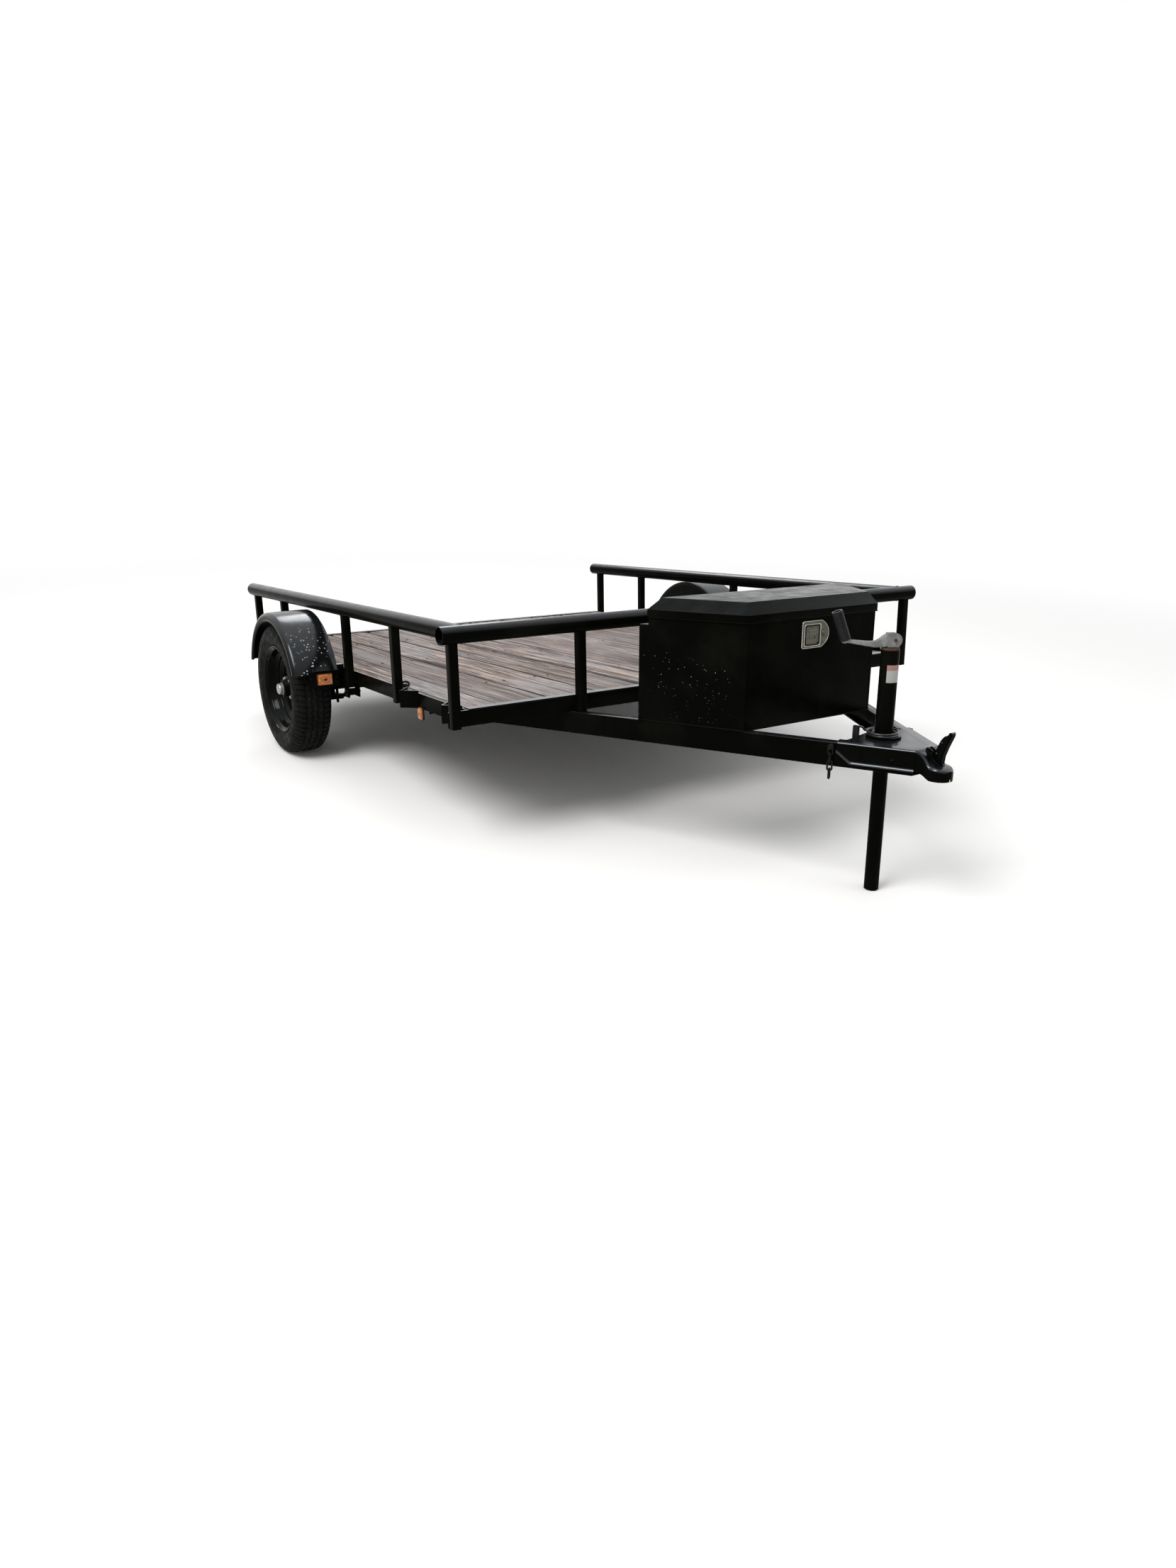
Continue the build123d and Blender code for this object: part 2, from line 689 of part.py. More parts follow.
support_front = box_rear - box_support_width
support = [(tongue_x(y) + channel_flange * across, y) for y in (box_rear, support_front)]
support += [(-x, y) for x, y in reversed(support)]
tongue_parts["box_support"] = slab(support, tongue_top - channel_flange_thick, tongue_top)

lid_front = box_front - lid_gap - lid_wall
lid_skirt_high = box_top + lid_lift
lid_skirt_low = lid_skirt_high - lid_skirt
lid_high = lid_skirt_high + lid_rise


def lid_outline(inset, bevel, rear_bevel, z):
    outline = box_outline(inset + bevel - lid_gap - lid_wall, lid_rear - inset - rear_bevel,
                          lid_front + inset + bevel)
    return [(x, y, z) for x, y in outline]


def lid_shape(inset, skirt_from):
    low = lid_outline(inset, 0, 0, lid_skirt_high - inset)
    high = lid_outline(inset, lid_bevel, lid_rear_bevel, lid_high - inset)
    cap = loft([make_face(Polyline(*points, close=True)) for points in (low, high)])
    return cap + slab([(x, y) for x, y, z in low], skirt_from, lid_skirt_high - inset)


lid = lid_shape(0, lid_skirt_low) - lid_shape(lid_wall, lid_skirt_low - past)
# the lid has no skirt along its hinge
hinge_room = block(box_middle - box_rear_half, box_middle + box_rear_half, lid_rear - lid_wall - past,
                   lid_rear + past, lid_skirt_low - past, box_top + hinge_clear)
tongue_parts["toolbox_lid"] = lid - hinge_room
paddle_high = box_top - paddle_drop
paddle_low = paddle_high - paddle_tall
lock_z = (paddle_low + paddle_high) / 2
plate_edge = [(paddle_near, paddle_low), (paddle_far, paddle_low), (paddle_far, paddle_low + paddle_shoulder),
              (paddle_far + paddle_point, lock_z), (paddle_far, paddle_high - paddle_shoulder),
              (paddle_far, paddle_high), (paddle_near, paddle_high)]
plate_face = make_face(Polyline(*[(x, box_front, z) for x, z in plate_edge], close=True))
plate = extrude(plate_face, paddle_thick, dir=(0, -1, 0))
lock_deep = paddle_thick + lock_proud
lock = Pos(paddle_far, box_front - lock_deep / 2, lock_z) * Rot(90, 0, 0) * Cylinder(lock_od / 2, lock_deep)
tongue_parts["toolbox_latch"] = plate + lock

# wiring: loose turns round the jack's foot, from a gland on the coupler to a plug beside them
coil_low = flange_top
coil_high = coil_low + coil_height
gland_high = coil_high + gland_rise
tongue_parts["wiring_coil"] = (rod_z(coil_x, jack_y, coil_low, coil_high, coil_outer)
                               - rod_z(coil_x, jack_y, coil_low - past, coil_high + past, coil_inner))
gland_near = coil_outer / 2 - gland_in_coil
gland = block(gland_near, gland_near + gland_depth, -gland_width / 2, gland_width / 2, plate_top, gland_high)
gland = Pos(coil_x, jack_y, 0) * Rot(0, 0, gland_turn) * gland
gland -= rod_z(coil_x, jack_y, coil_low, coil_high + past, coil_outer)
gland -= rod_z(0, jack_y, plate_top - past, coil_low + past, flange_od + 2 * running_gap)
tongue_parts["coupler"] += gland


def lead_corners(route):
    """The radius of each corner and the turn there."""
    runs = [Vector(*b) - Vector(*a) for a, b in zip(route, route[1:])]
    turns = [a.get_angle(b) for a, b in zip(runs, runs[1:])]
    shorter = [min(a.length, b.length) for a, b in zip(runs, runs[1:])]
    return [lead_bend_share * run / tan(radians(turn / 2)) for run, turn in zip(shorter, turns)], turns


lead_radii, lead_turns = lead_corners(lead_route)
lead_line = FilletPolyline(*lead_route, radius=lead_radii)
lead = sweep(Plane(origin=lead_line @ 0, z_dir=lead_line % 0) * Circle(cable_od / 2), path=lead_line)
print("lead: radii", [round(r) for r in lead_radii], "turns", [round(t) for t in lead_turns],
      "length", round(lead_line.length, 1), "volume over section times length",
      round(lead.volume / (pi * cable_od ** 2 / 4 * lead_line.length), 4))
tongue_parts["wiring_lead"] = lead - tongue_parts["wiring_coil"]
lead_end = Vector(*lead_route[-1])
lead_way = degrees(atan2(lead_end.Y - lead_route[-2][1], lead_end.X - lead_route[-2][0]))
plug_top = lead_end.Z + plug_lead_drop
plug = block(0, plug_thick, -plug_width / 2, plug_width / 2, plate_top, plug_top)
tongue_parts["wiring_plug"] = Pos(lead_end.X, lead_end.Y, 0) * Rot(0, 0, lead_way) * plug


def chain_link():
    across_link, along_link = chain_inside
    ends = 2 * chain_wire
    ring = SlotOverall(along_link + ends, across_link + ends) - SlotOverall(along_link, across_link)
    solid = extrude(ring, chain_wire / 2, both=True)
    return Rot(0, 90, 0) * chamfer(solid.edges(), chain_bevel)


def safety_chain():
    """A pin in the channel and the links that hang from it, every other link turned."""
    pin = rod_x(0, chain_pin_length, 0, 0, chain_pin_od)
    pin += rod_x(chain_pin_length, chain_pin_length + chain_head_thick, 0, 0, chain_head_od)
    solids = [pin]
    first = chain_pin_od / 2 + chain_gap - chain_inside[1] / 2
    for number in range(chain_links):
        drop = first - number * (chain_inside[1] - chain_gap)
        solids.append(Pos(chain_out, 0, drop) * Rot(0, 0, 90 * (number % 2)) * chain_link())
    y = coupler_rear + chain_behind_arm * cos(radians(tongue_angle))
    seat = Pos(tongue_x(y), y, tongue_top - chain_pin_drop) * Rot(0, 0, 180 + tongue_angle)
    return [seat * solid for solid in solids]


near_chain = safety_chain()
tongue_parts["safety_chains"] = Compound(near_chain + [other_side(solid) for solid in near_chain])

for name, shape in tongue_parts.items():
    parts[name] = tongue_set * shape
behind_cross = block(-bed_half, bed_half, cross_places[0], channel_rear + cross_leg,
                     tongue_top - 2 * channel_height, 0)
for side in ("near", "far"):
    parts[side + "_tongue_channel"] -= behind_cross

# ---- lamps --------------------------------------------------------------------------------
fender_lamp_middle = (fender_inner + fender_outer + lamp_plate_edge) / 2
width, depth, height = fender_lamp_size
both_sides("fender_lamp", block(fender_lamp_middle - width / 2, fender_lamp_middle + width / 2,
                                fender_front_y - depth, fender_front_y,
                                fender_bottom + fender_lamp_rise - height, fender_bottom + fender_lamp_rise))
width, depth, height = frame_lamp_size
frame_lamp_top = -edge_height + pocket_rise
both_sides("frame_lamp", block(-bed_half - width, -bed_half, frame_lamp_y, frame_lamp_y + depth,
                               frame_lamp_top - height, frame_lamp_top))
width, depth, height = tail_lamp_size
tail_outer = -bed_half + tail_lamp_inset
both_sides("tail_lamp", block(tail_outer, tail_outer + width, bed_length, bed_length + depth,
                              -edge_height, height - edge_height))

# ---- set down and write -------------------------------------------------------------------
level = Rot(-nose_up, 0, 0)
lifted = [level * shape for shape in parts.values()]
bounds = Compound(children=lifted).bounding_box()
stance = Pos(0, -(bounds.min.Y + bounds.max.Y) / 2, -bounds.min.Z) * level
for name, shape in parts.items():
    export_step(stance * shape, f"parts/{name}.step")
print("nodes", len(parts), "shift", stance.position.Y, stance.position.Z, "leg", leg_bottom)
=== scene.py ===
import bmesh
import bpy
import json
import random
from math import atan2, cos, pi, radians, sin, sqrt, tan
from mathutils import Matrix, Vector, noise

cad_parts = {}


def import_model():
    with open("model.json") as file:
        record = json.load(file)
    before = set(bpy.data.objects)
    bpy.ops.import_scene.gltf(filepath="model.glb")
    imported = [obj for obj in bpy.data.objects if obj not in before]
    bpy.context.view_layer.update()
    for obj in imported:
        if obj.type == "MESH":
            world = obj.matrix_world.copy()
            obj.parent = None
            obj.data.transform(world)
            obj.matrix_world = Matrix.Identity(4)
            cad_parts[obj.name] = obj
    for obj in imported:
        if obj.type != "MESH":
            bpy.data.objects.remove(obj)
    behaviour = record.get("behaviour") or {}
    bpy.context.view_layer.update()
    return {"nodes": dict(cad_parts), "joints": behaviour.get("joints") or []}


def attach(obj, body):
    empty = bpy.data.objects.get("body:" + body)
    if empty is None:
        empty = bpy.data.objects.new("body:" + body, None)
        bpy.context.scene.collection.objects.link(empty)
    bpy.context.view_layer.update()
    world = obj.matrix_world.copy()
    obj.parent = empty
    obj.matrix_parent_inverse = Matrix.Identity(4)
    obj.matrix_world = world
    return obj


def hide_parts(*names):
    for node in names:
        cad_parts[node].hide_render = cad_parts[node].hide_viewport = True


# A parked utility trailer. Pieces are drawn in millimetres in the frame of the bed or of the
# tongue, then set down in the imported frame, in metres.
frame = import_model()

MM = 0.001
WELD_GAP = 0.01              # points nearer than this are joined
NO_AREA = 1e-6               # faces smaller than this are dropped
NOSE_UP = radians(4.75)      # the bed's pitch as parked
TONGUE_DROP = radians(1.5)   # the tongue's droop from the bed
TONGUE_SEAT = Vector((0, 5, -55))
WHEEL_X, AXLE_Y, AXLE_Z = 1154, 1456, -113
HUB = Vector((-WHEEL_X, AXLE_Y, AXLE_Z))

hub_now = Vector(next(j for j in frame["joints"] if j["name"] == "near_wheel_spin")["pos_m"])
LEVEL = Matrix.Rotation(-NOSE_UP, 4, "X") @ Matrix.Scale(MM, 4)
BED = Matrix.Translation(hub_now - LEVEL @ HUB) @ LEVEL
TONGUE = BED @ Matrix.Translation(TONGUE_SEAT) @ Matrix.Rotation(TONGUE_DROP, 4, "X") \
    @ Matrix.Translation(-TONGUE_SEAT)
MIRROR = Matrix.Diagonal((-1, 1, 1, 1))
HERE = Matrix.Identity(4)
SIDES = {"near": -1, "far": 1}


def room(node, place):
    """The box of a CAD node in the bed's or the tongue's frame, in millimetres."""
    back = place.inverted()
    spots = [back @ v.co for v in frame["nodes"][node].data.vertices]
    low = Vector([min(p[i] for p in spots) for i in range(3)])
    high = Vector([max(p[i] for p in spots) for i in range(3)])
    return low, high


SIDE_ON = Matrix(((0, 0, 1, 0), (1, 0, 0, 0), (0, 1, 0, 0), (0, 0, 0, 1)))   # (y, z) drawn along x


def toward(at, along, roll=0.0):
    """A place whose Z axis points along a direction."""
    turn = Vector(along).to_track_quat("Z", "Y").to_matrix().to_4x4()
    return Matrix.Translation(Vector(at)) @ turn @ Matrix.Rotation(roll, 4, "Z")


def circle(steps):
    return [2 * pi * step / steps for step in range(steps)]


def arc(start, end, steps, first=0):
    """Turns from start to end in so many steps, less the ones before the first."""
    return [start + (end - start) * step / steps for step in range(first, steps + 1)]


def rounded(x0, x1, y0, y1, corner, steps=6):
    """A rectangle with round corners."""
    points = []
    for cx, cy, start in ((x1 - corner, y1 - corner, 0), (x0 + corner, y1 - corner, pi / 2),
                          (x0 + corner, y0 + corner, pi), (x1 - corner, y0 + corner, pi * 1.5)):
        points += [(cx + corner * cos(t), cy + corner * sin(t)) for t in arc(start, start + pi / 2, steps)]
    return points


# ---- mesh making --------------------------------------------------------------------------
class Shape:
    """A mesh in the making, in millimetres."""

    def __init__(self):
        self.bm = bmesh.new()

    def grid(self, rows, closed_rows=False, closed_columns=False):
        """Faces between rows of points."""
        made = [[self.bm.verts.new(p) for p in row] for row in rows]
        count, width = len(made), len(made[0])
        for i in range(count if closed_rows else count - 1):
            for j in range(width if closed_columns else width - 1):
                a, b = made[i], made[(i + 1) % count]
                k = (j + 1) % width
                self.bm.faces.new((a[j], a[k], b[k], b[j]))
        return made

    def loft(self, rows):
        """Faces between rows of points, with both ends closed."""
        made = self.grid(rows, closed_columns=True)
        self.bm.faces.new(made[0])
        self.bm.faces.new(made[-1])
        return self

    def box(self, x0, x1, y0, y1, z0, z1, at=HERE):
        return self.prism([(x0, y0), (x1, y0), (x1, y1), (x0, y1)], z0, z1, at)

    def prism(self, outline, low, high, at=HERE):
        """An outline in X and Y, drawn out along Z."""
        return self.loft([[at @ Vector((x, y, z)) for x, y in outline] for z in (low, high)])

    def turned(self, profile, at=HERE, steps=40, ring=False):
        """A profile of (radius, height) points turned round Z; a ring's profile is closed."""
        rows = [[at @ Vector((r * cos(t), r * sin(t), z)) for r, z in profile] for t in circle(steps)]
        self.grid(rows, closed_rows=True, closed_columns=ring)
        return self

    def rod(self, length, od, at=HERE, steps=28, edge=0.6):
        r = od / 2
        profile = [(0, 0), (r - edge, 0), (r, edge), (r, length - edge), (r - edge, length), (0, length)]
        return self.turned(profile, at, steps)

    def pipe(self, length, od, wall, at=HERE, steps=48, edge=0.7):
        r, b = od / 2, od / 2 - wall
        profile = [(b, edge), (b + edge, 0), (r - edge, 0), (r, edge),
                   (r, length - edge), (r - edge, length), (b + edge, length), (b, length - edge)]
        return self.turned(profile, at, steps, ring=True)

    def sweep(self, path, radius, steps=10, closed=False, flat=1.0):
        """A round bar along a path; radius is a number or one for each point."""
        points = [Vector(p) for p in path]
        count = len(points)
        rows, side = [], None
        for i, p in enumerate(points):
            before = points[i - 1] if i or closed else p
            after = points[(i + 1) % count] if i < count - 1 or closed else p
            along = (after - before).normalized()
            if side is None:
                side = along.orthogonal().normalized()
            side = (side - along * side.dot(along)).normalized()
            up = along.cross(side)
            r = radius[i] if isinstance(radius, (list, tuple)) else radius
            rows.append([p + side * (r * cos(t)) + up * (r * flat * sin(t)) for t in circle(steps)])
        if not closed:
            return self.loft(rows)
        self.grid(rows, closed_rows=True, closed_columns=True)
        return self

    def hex_head(self, at, along, across=13, height=6, washer=True, roll=0.3):
        """A bolt's head or a nut on its washer."""
        base = toward(at, along, roll)
        foot = 1.6 if washer else 0
        if washer:
            self.rod(foot, across * 1.75, base, 20, 0.4)
        corner = across / sqrt(3)
        rows = []
        for r, z in ((corner, foot), (corner, foot + height * 0.85), (corner * 0.9, foot + height)):
            rows.append([base @ Vector((r * cos(t), r * sin(t), z)) for t in circle(6)])
        return self.loft(rows)

    def weld(self, path, radius, seed=1, pitch=3.0):
        """A rippled bead along a run of points."""
        draw = random.Random(seed)
        points = [Vector(p) for p in path]
        beads, sizes = [], []
        for a, b in zip(points, points[1:]):
            steps = max(2, int((b - a).length / pitch))
            for k in range(steps):
                beads.append(a.lerp(b, k / steps))
                sizes.append(radius * (0.82 + 0.3 * (len(beads) % 2) + draw.uniform(-0.1, 0.1)))
        beads.append(points[-1])
        sizes.append(radius * 0.6)
        return self.sweep(beads, sizes, 8)


def added(name, data):
    ob = bpy.data.objects.new(name, data)
    bpy.context.scene.collection.objects.link(ob)
    return ob


def dressed(name, mesh, finish, slot, body, bevel=0.0, smooth=35, replaces=()):
    """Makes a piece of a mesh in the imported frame."""
    ob = added(name, mesh)
    mesh.shade_smooth()
    if bevel:
        mod = ob.modifiers.new("edges", "BEVEL")
        mod.width = bevel * MM
        mod.segments = 2
        mod.limit_method = "ANGLE"
        mod.angle_limit = radians(smooth)
        mod.harden_normals = True
    else:
        mesh.set_sharp_from_angle(angle=radians(smooth))
    mesh.materials.append(finish)
    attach(ob, body)
    if replaces:
        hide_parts(*replaces)
    return ob


def mesh_of(bm, name):
    mesh = bpy.data.meshes.new(name)
    bm.to_mesh(mesh)
    bm.free()
    return mesh


def settled(shape, name, place):
    """A shape's mesh, joined up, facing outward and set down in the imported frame."""
    bm = shape.bm
    bmesh.ops.remove_doubles(bm, verts=bm.verts, dist=WELD_GAP)
    bmesh.ops.delete(bm, geom=[f for f in bm.faces if f.calc_area() < NO_AREA], context="FACES")
    bmesh.ops.recalc_face_normals(bm, faces=bm.faces)
    bm.transform(place)
    if place.determinant() < 0:
        bmesh.ops.reverse_faces(bm, faces=bm.faces)
    return mesh_of(bm, name)


def piece(name, shape, finish, slot="black_paint", body="chassis", place=TONGUE, **how):
    """Makes a piece of a shape drawn in the tongue's frame, or in the bed's."""
    return dressed(name, settled(shape, name, place), finish, slot, body, **how)


def both(name, make, finish, slot="black_paint", bodies="chassis", replaces=(), **how):
    """The same piece of the bed on the near side and, mirrored, on the far side."""
    for side, sign in SIDES.items():
        body = bodies if isinstance(bodies, str) else bodies[side]
        piece(f"{side}_{name}", make(), finish, slot, body, BED if sign < 0 else BED @ MIRROR,
              replaces=[f"{side}_{node}" for node in replaces], **how)


def from_cad(node, finish, bevel, body="chassis"):
    """A CAD node's own form with worked edges."""
    bm = bmesh.new()
    bm.from_mesh(frame["nodes"][node].data)
    bmesh.ops.remove_doubles(bm, verts=bm.verts, dist=WELD_GAP * MM)
    bmesh.ops.dissolve_limit(bm, angle_limit=radians(0.6), verts=bm.verts, edges=bm.edges)
    name = node + "_worked"
    dressed(name, mesh_of(bm, name), finish, "black_paint", body, bevel=bevel, replaces=[node])


# ---- finishes -----------------------------------------------------------------------------
class Finish:
    """A procedural material; its textures lie in the bed's level frame."""

    def __init__(self, name, colour, rough=0.4, metal=0.0, **sockets):
        self.material = bpy.data.materials.new(name)
        self.material.use_nodes = True
        self.tree = self.material.node_tree
        self.shader = self.tree.nodes["Principled BSDF"]
        self.colour(colour)
        self.shader.inputs["Roughness"].default_value = rough
        self.shader.inputs["Metallic"].default_value = metal
        for socket, value in sockets.items():
            self.shader.inputs[socket.replace("_", " ")].default_value = value
        self.height = None

    def node(self, kind, *values, **settings):
        """A node with its settings, and its first sockets filled in order."""
        node = self.tree.nodes.new("ShaderNode" + kind)
        for name, setting in settings.items():
            setattr(node, name, setting)
        for socket, value in zip(node.inputs, values):
            self.put(socket, value)
        return node

    def put(self, socket, value):
        if hasattr(value, "is_output"):
            self.tree.links.new(value, socket)
        elif isinstance(value, (tuple, list)) and len(value) == 3 and socket.type == "RGBA":
            socket.default_value = (*value, 1)
        else:
            socket.default_value = value

    def colour(self, value):
        self.put(self.shader.inputs["Base Color"], value)

    def rough(self, value):
        self.put(self.shader.inputs["Roughness"], value)

    def place(self, stretch=(1, 1, 1), shift=None):
        coords = self.node("TexCoord").outputs["Object"]
        out = self.node("Mapping", coords, (0, 0, 0), (NOSE_UP, 0, 0)).outputs[0]
        if shift is not None:
            out = self.node("VectorMath", out, shift).outputs[0]
        return self.node("VectorMath", out, stretch, operation="MULTIPLY").outputs[0]

    def noise(self, scale, detail=5, rough=0.55, stretch=(1, 1, 1), bend=0.0, shift=None):
        tex = self.node("TexNoise", self.place(stretch, shift))
        for socket, value in (("Scale", scale), ("Detail", detail),
                              ("Roughness", rough), ("Distortion", bend)):
            tex.inputs[socket].default_value = value
        return tex.outputs[0]

    def cells(self, scale):
        tex = self.node("TexVoronoi", self.place())
        tex.inputs["Scale"].default_value = scale
        return tex.outputs["Distance"]

    def math(self, kind, a, b):
        return self.node("Math", a, b, operation=kind).outputs[0]

    def steps(self, value, low, high, to_low=0.0, to_high=1.0):
        return self.node("MapRange", value, low, high, to_low, to_high,
                         interpolation_type="SMOOTHSTEP").outputs[0]

    def mix(self, share, a, b):
        node = self.node("Mix", share, data_type="RGBA")
        self.put(node.inputs[6], a)
        self.put(node.inputs[7], b)
        return node.outputs[2]

    def attribute(self, name, output="Fac"):
        return self.node("Attribute", attribute_name=name).outputs[output]

    def axis(self, vector):
        """The upright part of a vector."""
        return self.node("SeparateXYZ", vector).outputs["Z"]

    def facing_up(self):
        """How far a face looks up, from -1 to 1."""
        return self.axis(self.node("NewGeometry").outputs["Normal"])

    def bump(self, height, strength, depth):
        node = self.node("Bump", strength, depth)
        self.put(node.inputs["Height"], height)
        if self.height:
            self.put(node.inputs["Normal"], self.height)
        self.height = node.outputs[0]
        self.put(self.shader.inputs["Normal"], self.height)


PAINT = (0.0011, 0.0012, 0.0007)
PAINT_WORN = (0.0032, 0.0033, 0.0022)
DUST_AND_SKY_COLOUR = (0.014, 0.0165, 0.021)       # the tint of what faces up: partly wet dust, partly a painted reflection of the sky
DUST = (0.11, 0.10, 0.082)
DROP_GLINT = (0.5, 0.53, 0.54)
OXIDE = (0.30, 0.33, 0.37)


def level_point(place, at):
    """A point in the level frame that the textures lie in."""
    return Matrix.Rotation(NOSE_UP, 3, "X") @ (place @ Vector(at))


def near_to(finish, centre, radius):
    """1 round a place, fading to 0."""
    gap = finish.node("VectorMath", finish.place(), centre, operation="DISTANCE")
    wander = finish.math("MULTIPLY", finish.noise(14, 3, 0.5), radius * 0.7)
    return finish.steps(finish.math("ADD", gap.outputs["Value"], wander), radius * 1.35, radius * 0.6)


def spotted(finish, colour, blots, some, place, tint):
    """A colour with blots of a tint in one place of (centre, radius, share)."""
    centre, radius, share = place
    here = finish.math("MULTIPLY", near_to(finish, centre, radius), share)
    return finish.mix(finish.math("MULTIPLY", finish.math("MULTIPLY", blots, some), here), colour, tint)


def paint(name, rough=0.24, dust=0.25, sheen=0.55, wall=0.014, dust_and_sky_tint=0.5, sky=(0.3, 0.95),
          drops=(), scuffs=()):
    """Gloss black paint left outdoors; it mirrors the sky on what faces up and little on walls, and what
    faces up also takes a pale tint, partly wet dust and partly a painted sky reflection.
    """
    f = Finish(name, PAINT, rough, Specular_Tint=(0.86, 0.93, 1, 1))
    wear = f.steps(f.noise(5, 6, 0.6), 0.4, 0.75)
    colour = f.mix(wear, PAINT, PAINT_WORN)
    up = f.steps(f.facing_up(), 0.5, 1.0)
    # what faces up is mixed towards that tint: partly wet dust, partly a painted reflection of the sky
    wet = f.math("MULTIPLY", up, f.steps(f.noise(9, 5, 0.6), 0.2, 0.8, dust_and_sky_tint * 0.4, dust_and_sky_tint))
    colour = f.mix(wet, colour, DUST_AND_SKY_COLOUR)
    f.shader.inputs["Specular IOR Level"].default_value = (wall + sheen) / 2
    f.put(f.shader.inputs["Specular IOR Level"], f.steps(f.facing_up(), *sky, wall, sheen))
    dirt = f.math("MULTIPLY", f.steps(f.noise(38, 8, 0.7), 0.48, 0.8), f.math("MULTIPLY", up, dust))
    colour = f.mix(dirt, colour, DUST)
    # pale dots where water drops sit on the paint: painted glints
    for place in drops:
        dots = f.steps(f.cells(95), 0.12, 0.08)
        some = f.steps(f.noise(50, 2, 0.5), 0.47, 0.5)
        colour = spotted(f, colour, dots, some, place, DROP_GLINT)
    for place in scuffs:
        edge = f.math("MULTIPLY", f.noise(190, 3, 0.6), 0.26)
        blots = f.steps(f.math("ADD", f.cells(78), edge), 0.42, 0.36)
        some = f.steps(f.noise(40, 2, 0.5), 0.5, 0.54)
        colour = spotted(f, colour, blots, some, place, OXIDE)
    f.colour(colour)
    f.rough(f.steps(f.noise(16, 5, 0.6), 0.25, 0.8, rough * 0.75, min(rough * 1.6, 1)))
    f.bump(f.noise(420, 3, 0.5), 0.04, 0.0004)
    f.bump(f.noise(24, 3, 0.5), 0.05, 0.002)
    return f.material


def wood():
    """Old wet planks: grain along the board, checks, a grey or brown cast that differs by board, and painted
    shade along the seams.
    """
    f = Finish("deck wood", (0.3, 0.21, 0.17), 0.6, Specular_IOR_Level=0.12)
    tag = f.attribute("board", "Vector")
    grain = f.noise(1, 8, 0.62, (82, 1.5, 82), 0.45, tag)
    fine = f.noise(1, 9, 0.7, (210, 4.2, 210), 0.3, tag)
    broad = f.noise(1, 5, 0.6, (26, 0.9, 26), 0.9, tag)
    patch = f.noise(1, 4, 0.5, (5, 1.3, 5), 0.3, tag)
    colour = f.mix(f.steps(grain, 0.36, 0.63), (0.036, 0.025, 0.02), (0.41, 0.31, 0.268))
    streaks = f.noise(1, 6, 0.62, (38, 1.1, 38), 0.5, tag)
    colour = f.mix(f.steps(streaks, 0.52, 0.6, 0.0, 0.8), colour, (0.045, 0.031, 0.026))
    colour = f.mix(f.steps(broad, 0.45, 0.58, 0.0, 0.75), colour, (0.085, 0.06, 0.05))
    colour = f.mix(f.steps(patch, 0.46, 0.6, 0.0, 0.6), colour, (0.19, 0.187, 0.2))
    colour = f.mix(f.steps(fine, 0.52, 0.62, 0.0, 0.78), colour, (0.58, 0.5, 0.45))
    colour = f.mix(f.steps(fine, 0.48, 0.37, 0.0, 0.85), colour, (0.03, 0.02, 0.016))
    checks = f.steps(f.noise(1, 6, 0.6, (60, 0.9, 60), 0.6, tag), 0.57, 0.6)
    colour = f.mix(checks, colour, (0.012, 0.008, 0.007))
    scratch = f.steps(f.noise(1, 3, 0.5, (34, 22, 34), 2.4, tag), 0.69, 0.72, 0.0, 0.6)
    colour = f.mix(scratch, colour, (0.42, 0.38, 0.35))
    tone = f.attribute("tone")
    colour = f.mix(f.math("MULTIPLY", tone, 0.6), colour, (0.085, 0.055, 0.046))
    # the planks' edges and sides go near black along the seams: painted shade in the gaps
    seam_shade = f.math("SUBTRACT", f.attribute("seam_shade"), f.math("MULTIPLY", grain, 0.35))
    colour = f.mix(f.steps(seam_shade, 0.42, 0.72, 0.0, 0.85), colour, (0.018, 0.012, 0.01))
    f.colour(colour)
    f.rough(f.steps(patch, 0.3, 0.7, 0.62, 0.42))
    f.bump(grain, 0.6, 0.002)
    f.bump(fine, 0.4, 0.001)
    f.bump(f.math("SUBTRACT", 1.0, checks), 0.9, 0.003)
    return f.material


def rubber():
    f = Finish("tyre rubber", (0.004, 0.004, 0.004), 0.6, Specular_IOR_Level=0.07)
    dusty = f.steps(f.noise(14, 7, 0.65), 0.45, 0.8, 0.0, 0.5)
    f.colour(f.mix(dusty, (0.0032, 0.0032, 0.003), (0.016, 0.015, 0.012)))
    f.rough(f.steps(f.noise(30, 5, 0.6), 0.3, 0.7, 0.5, 0.8))
    f.bump(f.noise(300, 5, 0.6), 0.2, 0.0006)
    return f.material


def bare_metal(name, colour, rough, stain=None, grain=(1, 1, 1)):
    f = Finish(name, colour, rough, 0.9)
    tone = f.steps(f.noise(60, 6, 0.6), 0.3, 0.75, 0.0, 0.55)
    worn = f.mix(tone, colour, tuple(c * 0.55 for c in colour))
    if stain:
        worn = f.mix(f.steps(f.noise(45, 8, 0.7), 0.56, 0.68), worn, stain)
    f.colour(worn)
    f.rough(f.steps(f.noise(180, 6, 0.6, grain), 0.3, 0.7, rough * 0.75, rough * 1.4))
    f.bump(f.noise(500, 4, 0.5, grain), 0.12, 0.0003)
    return f.material


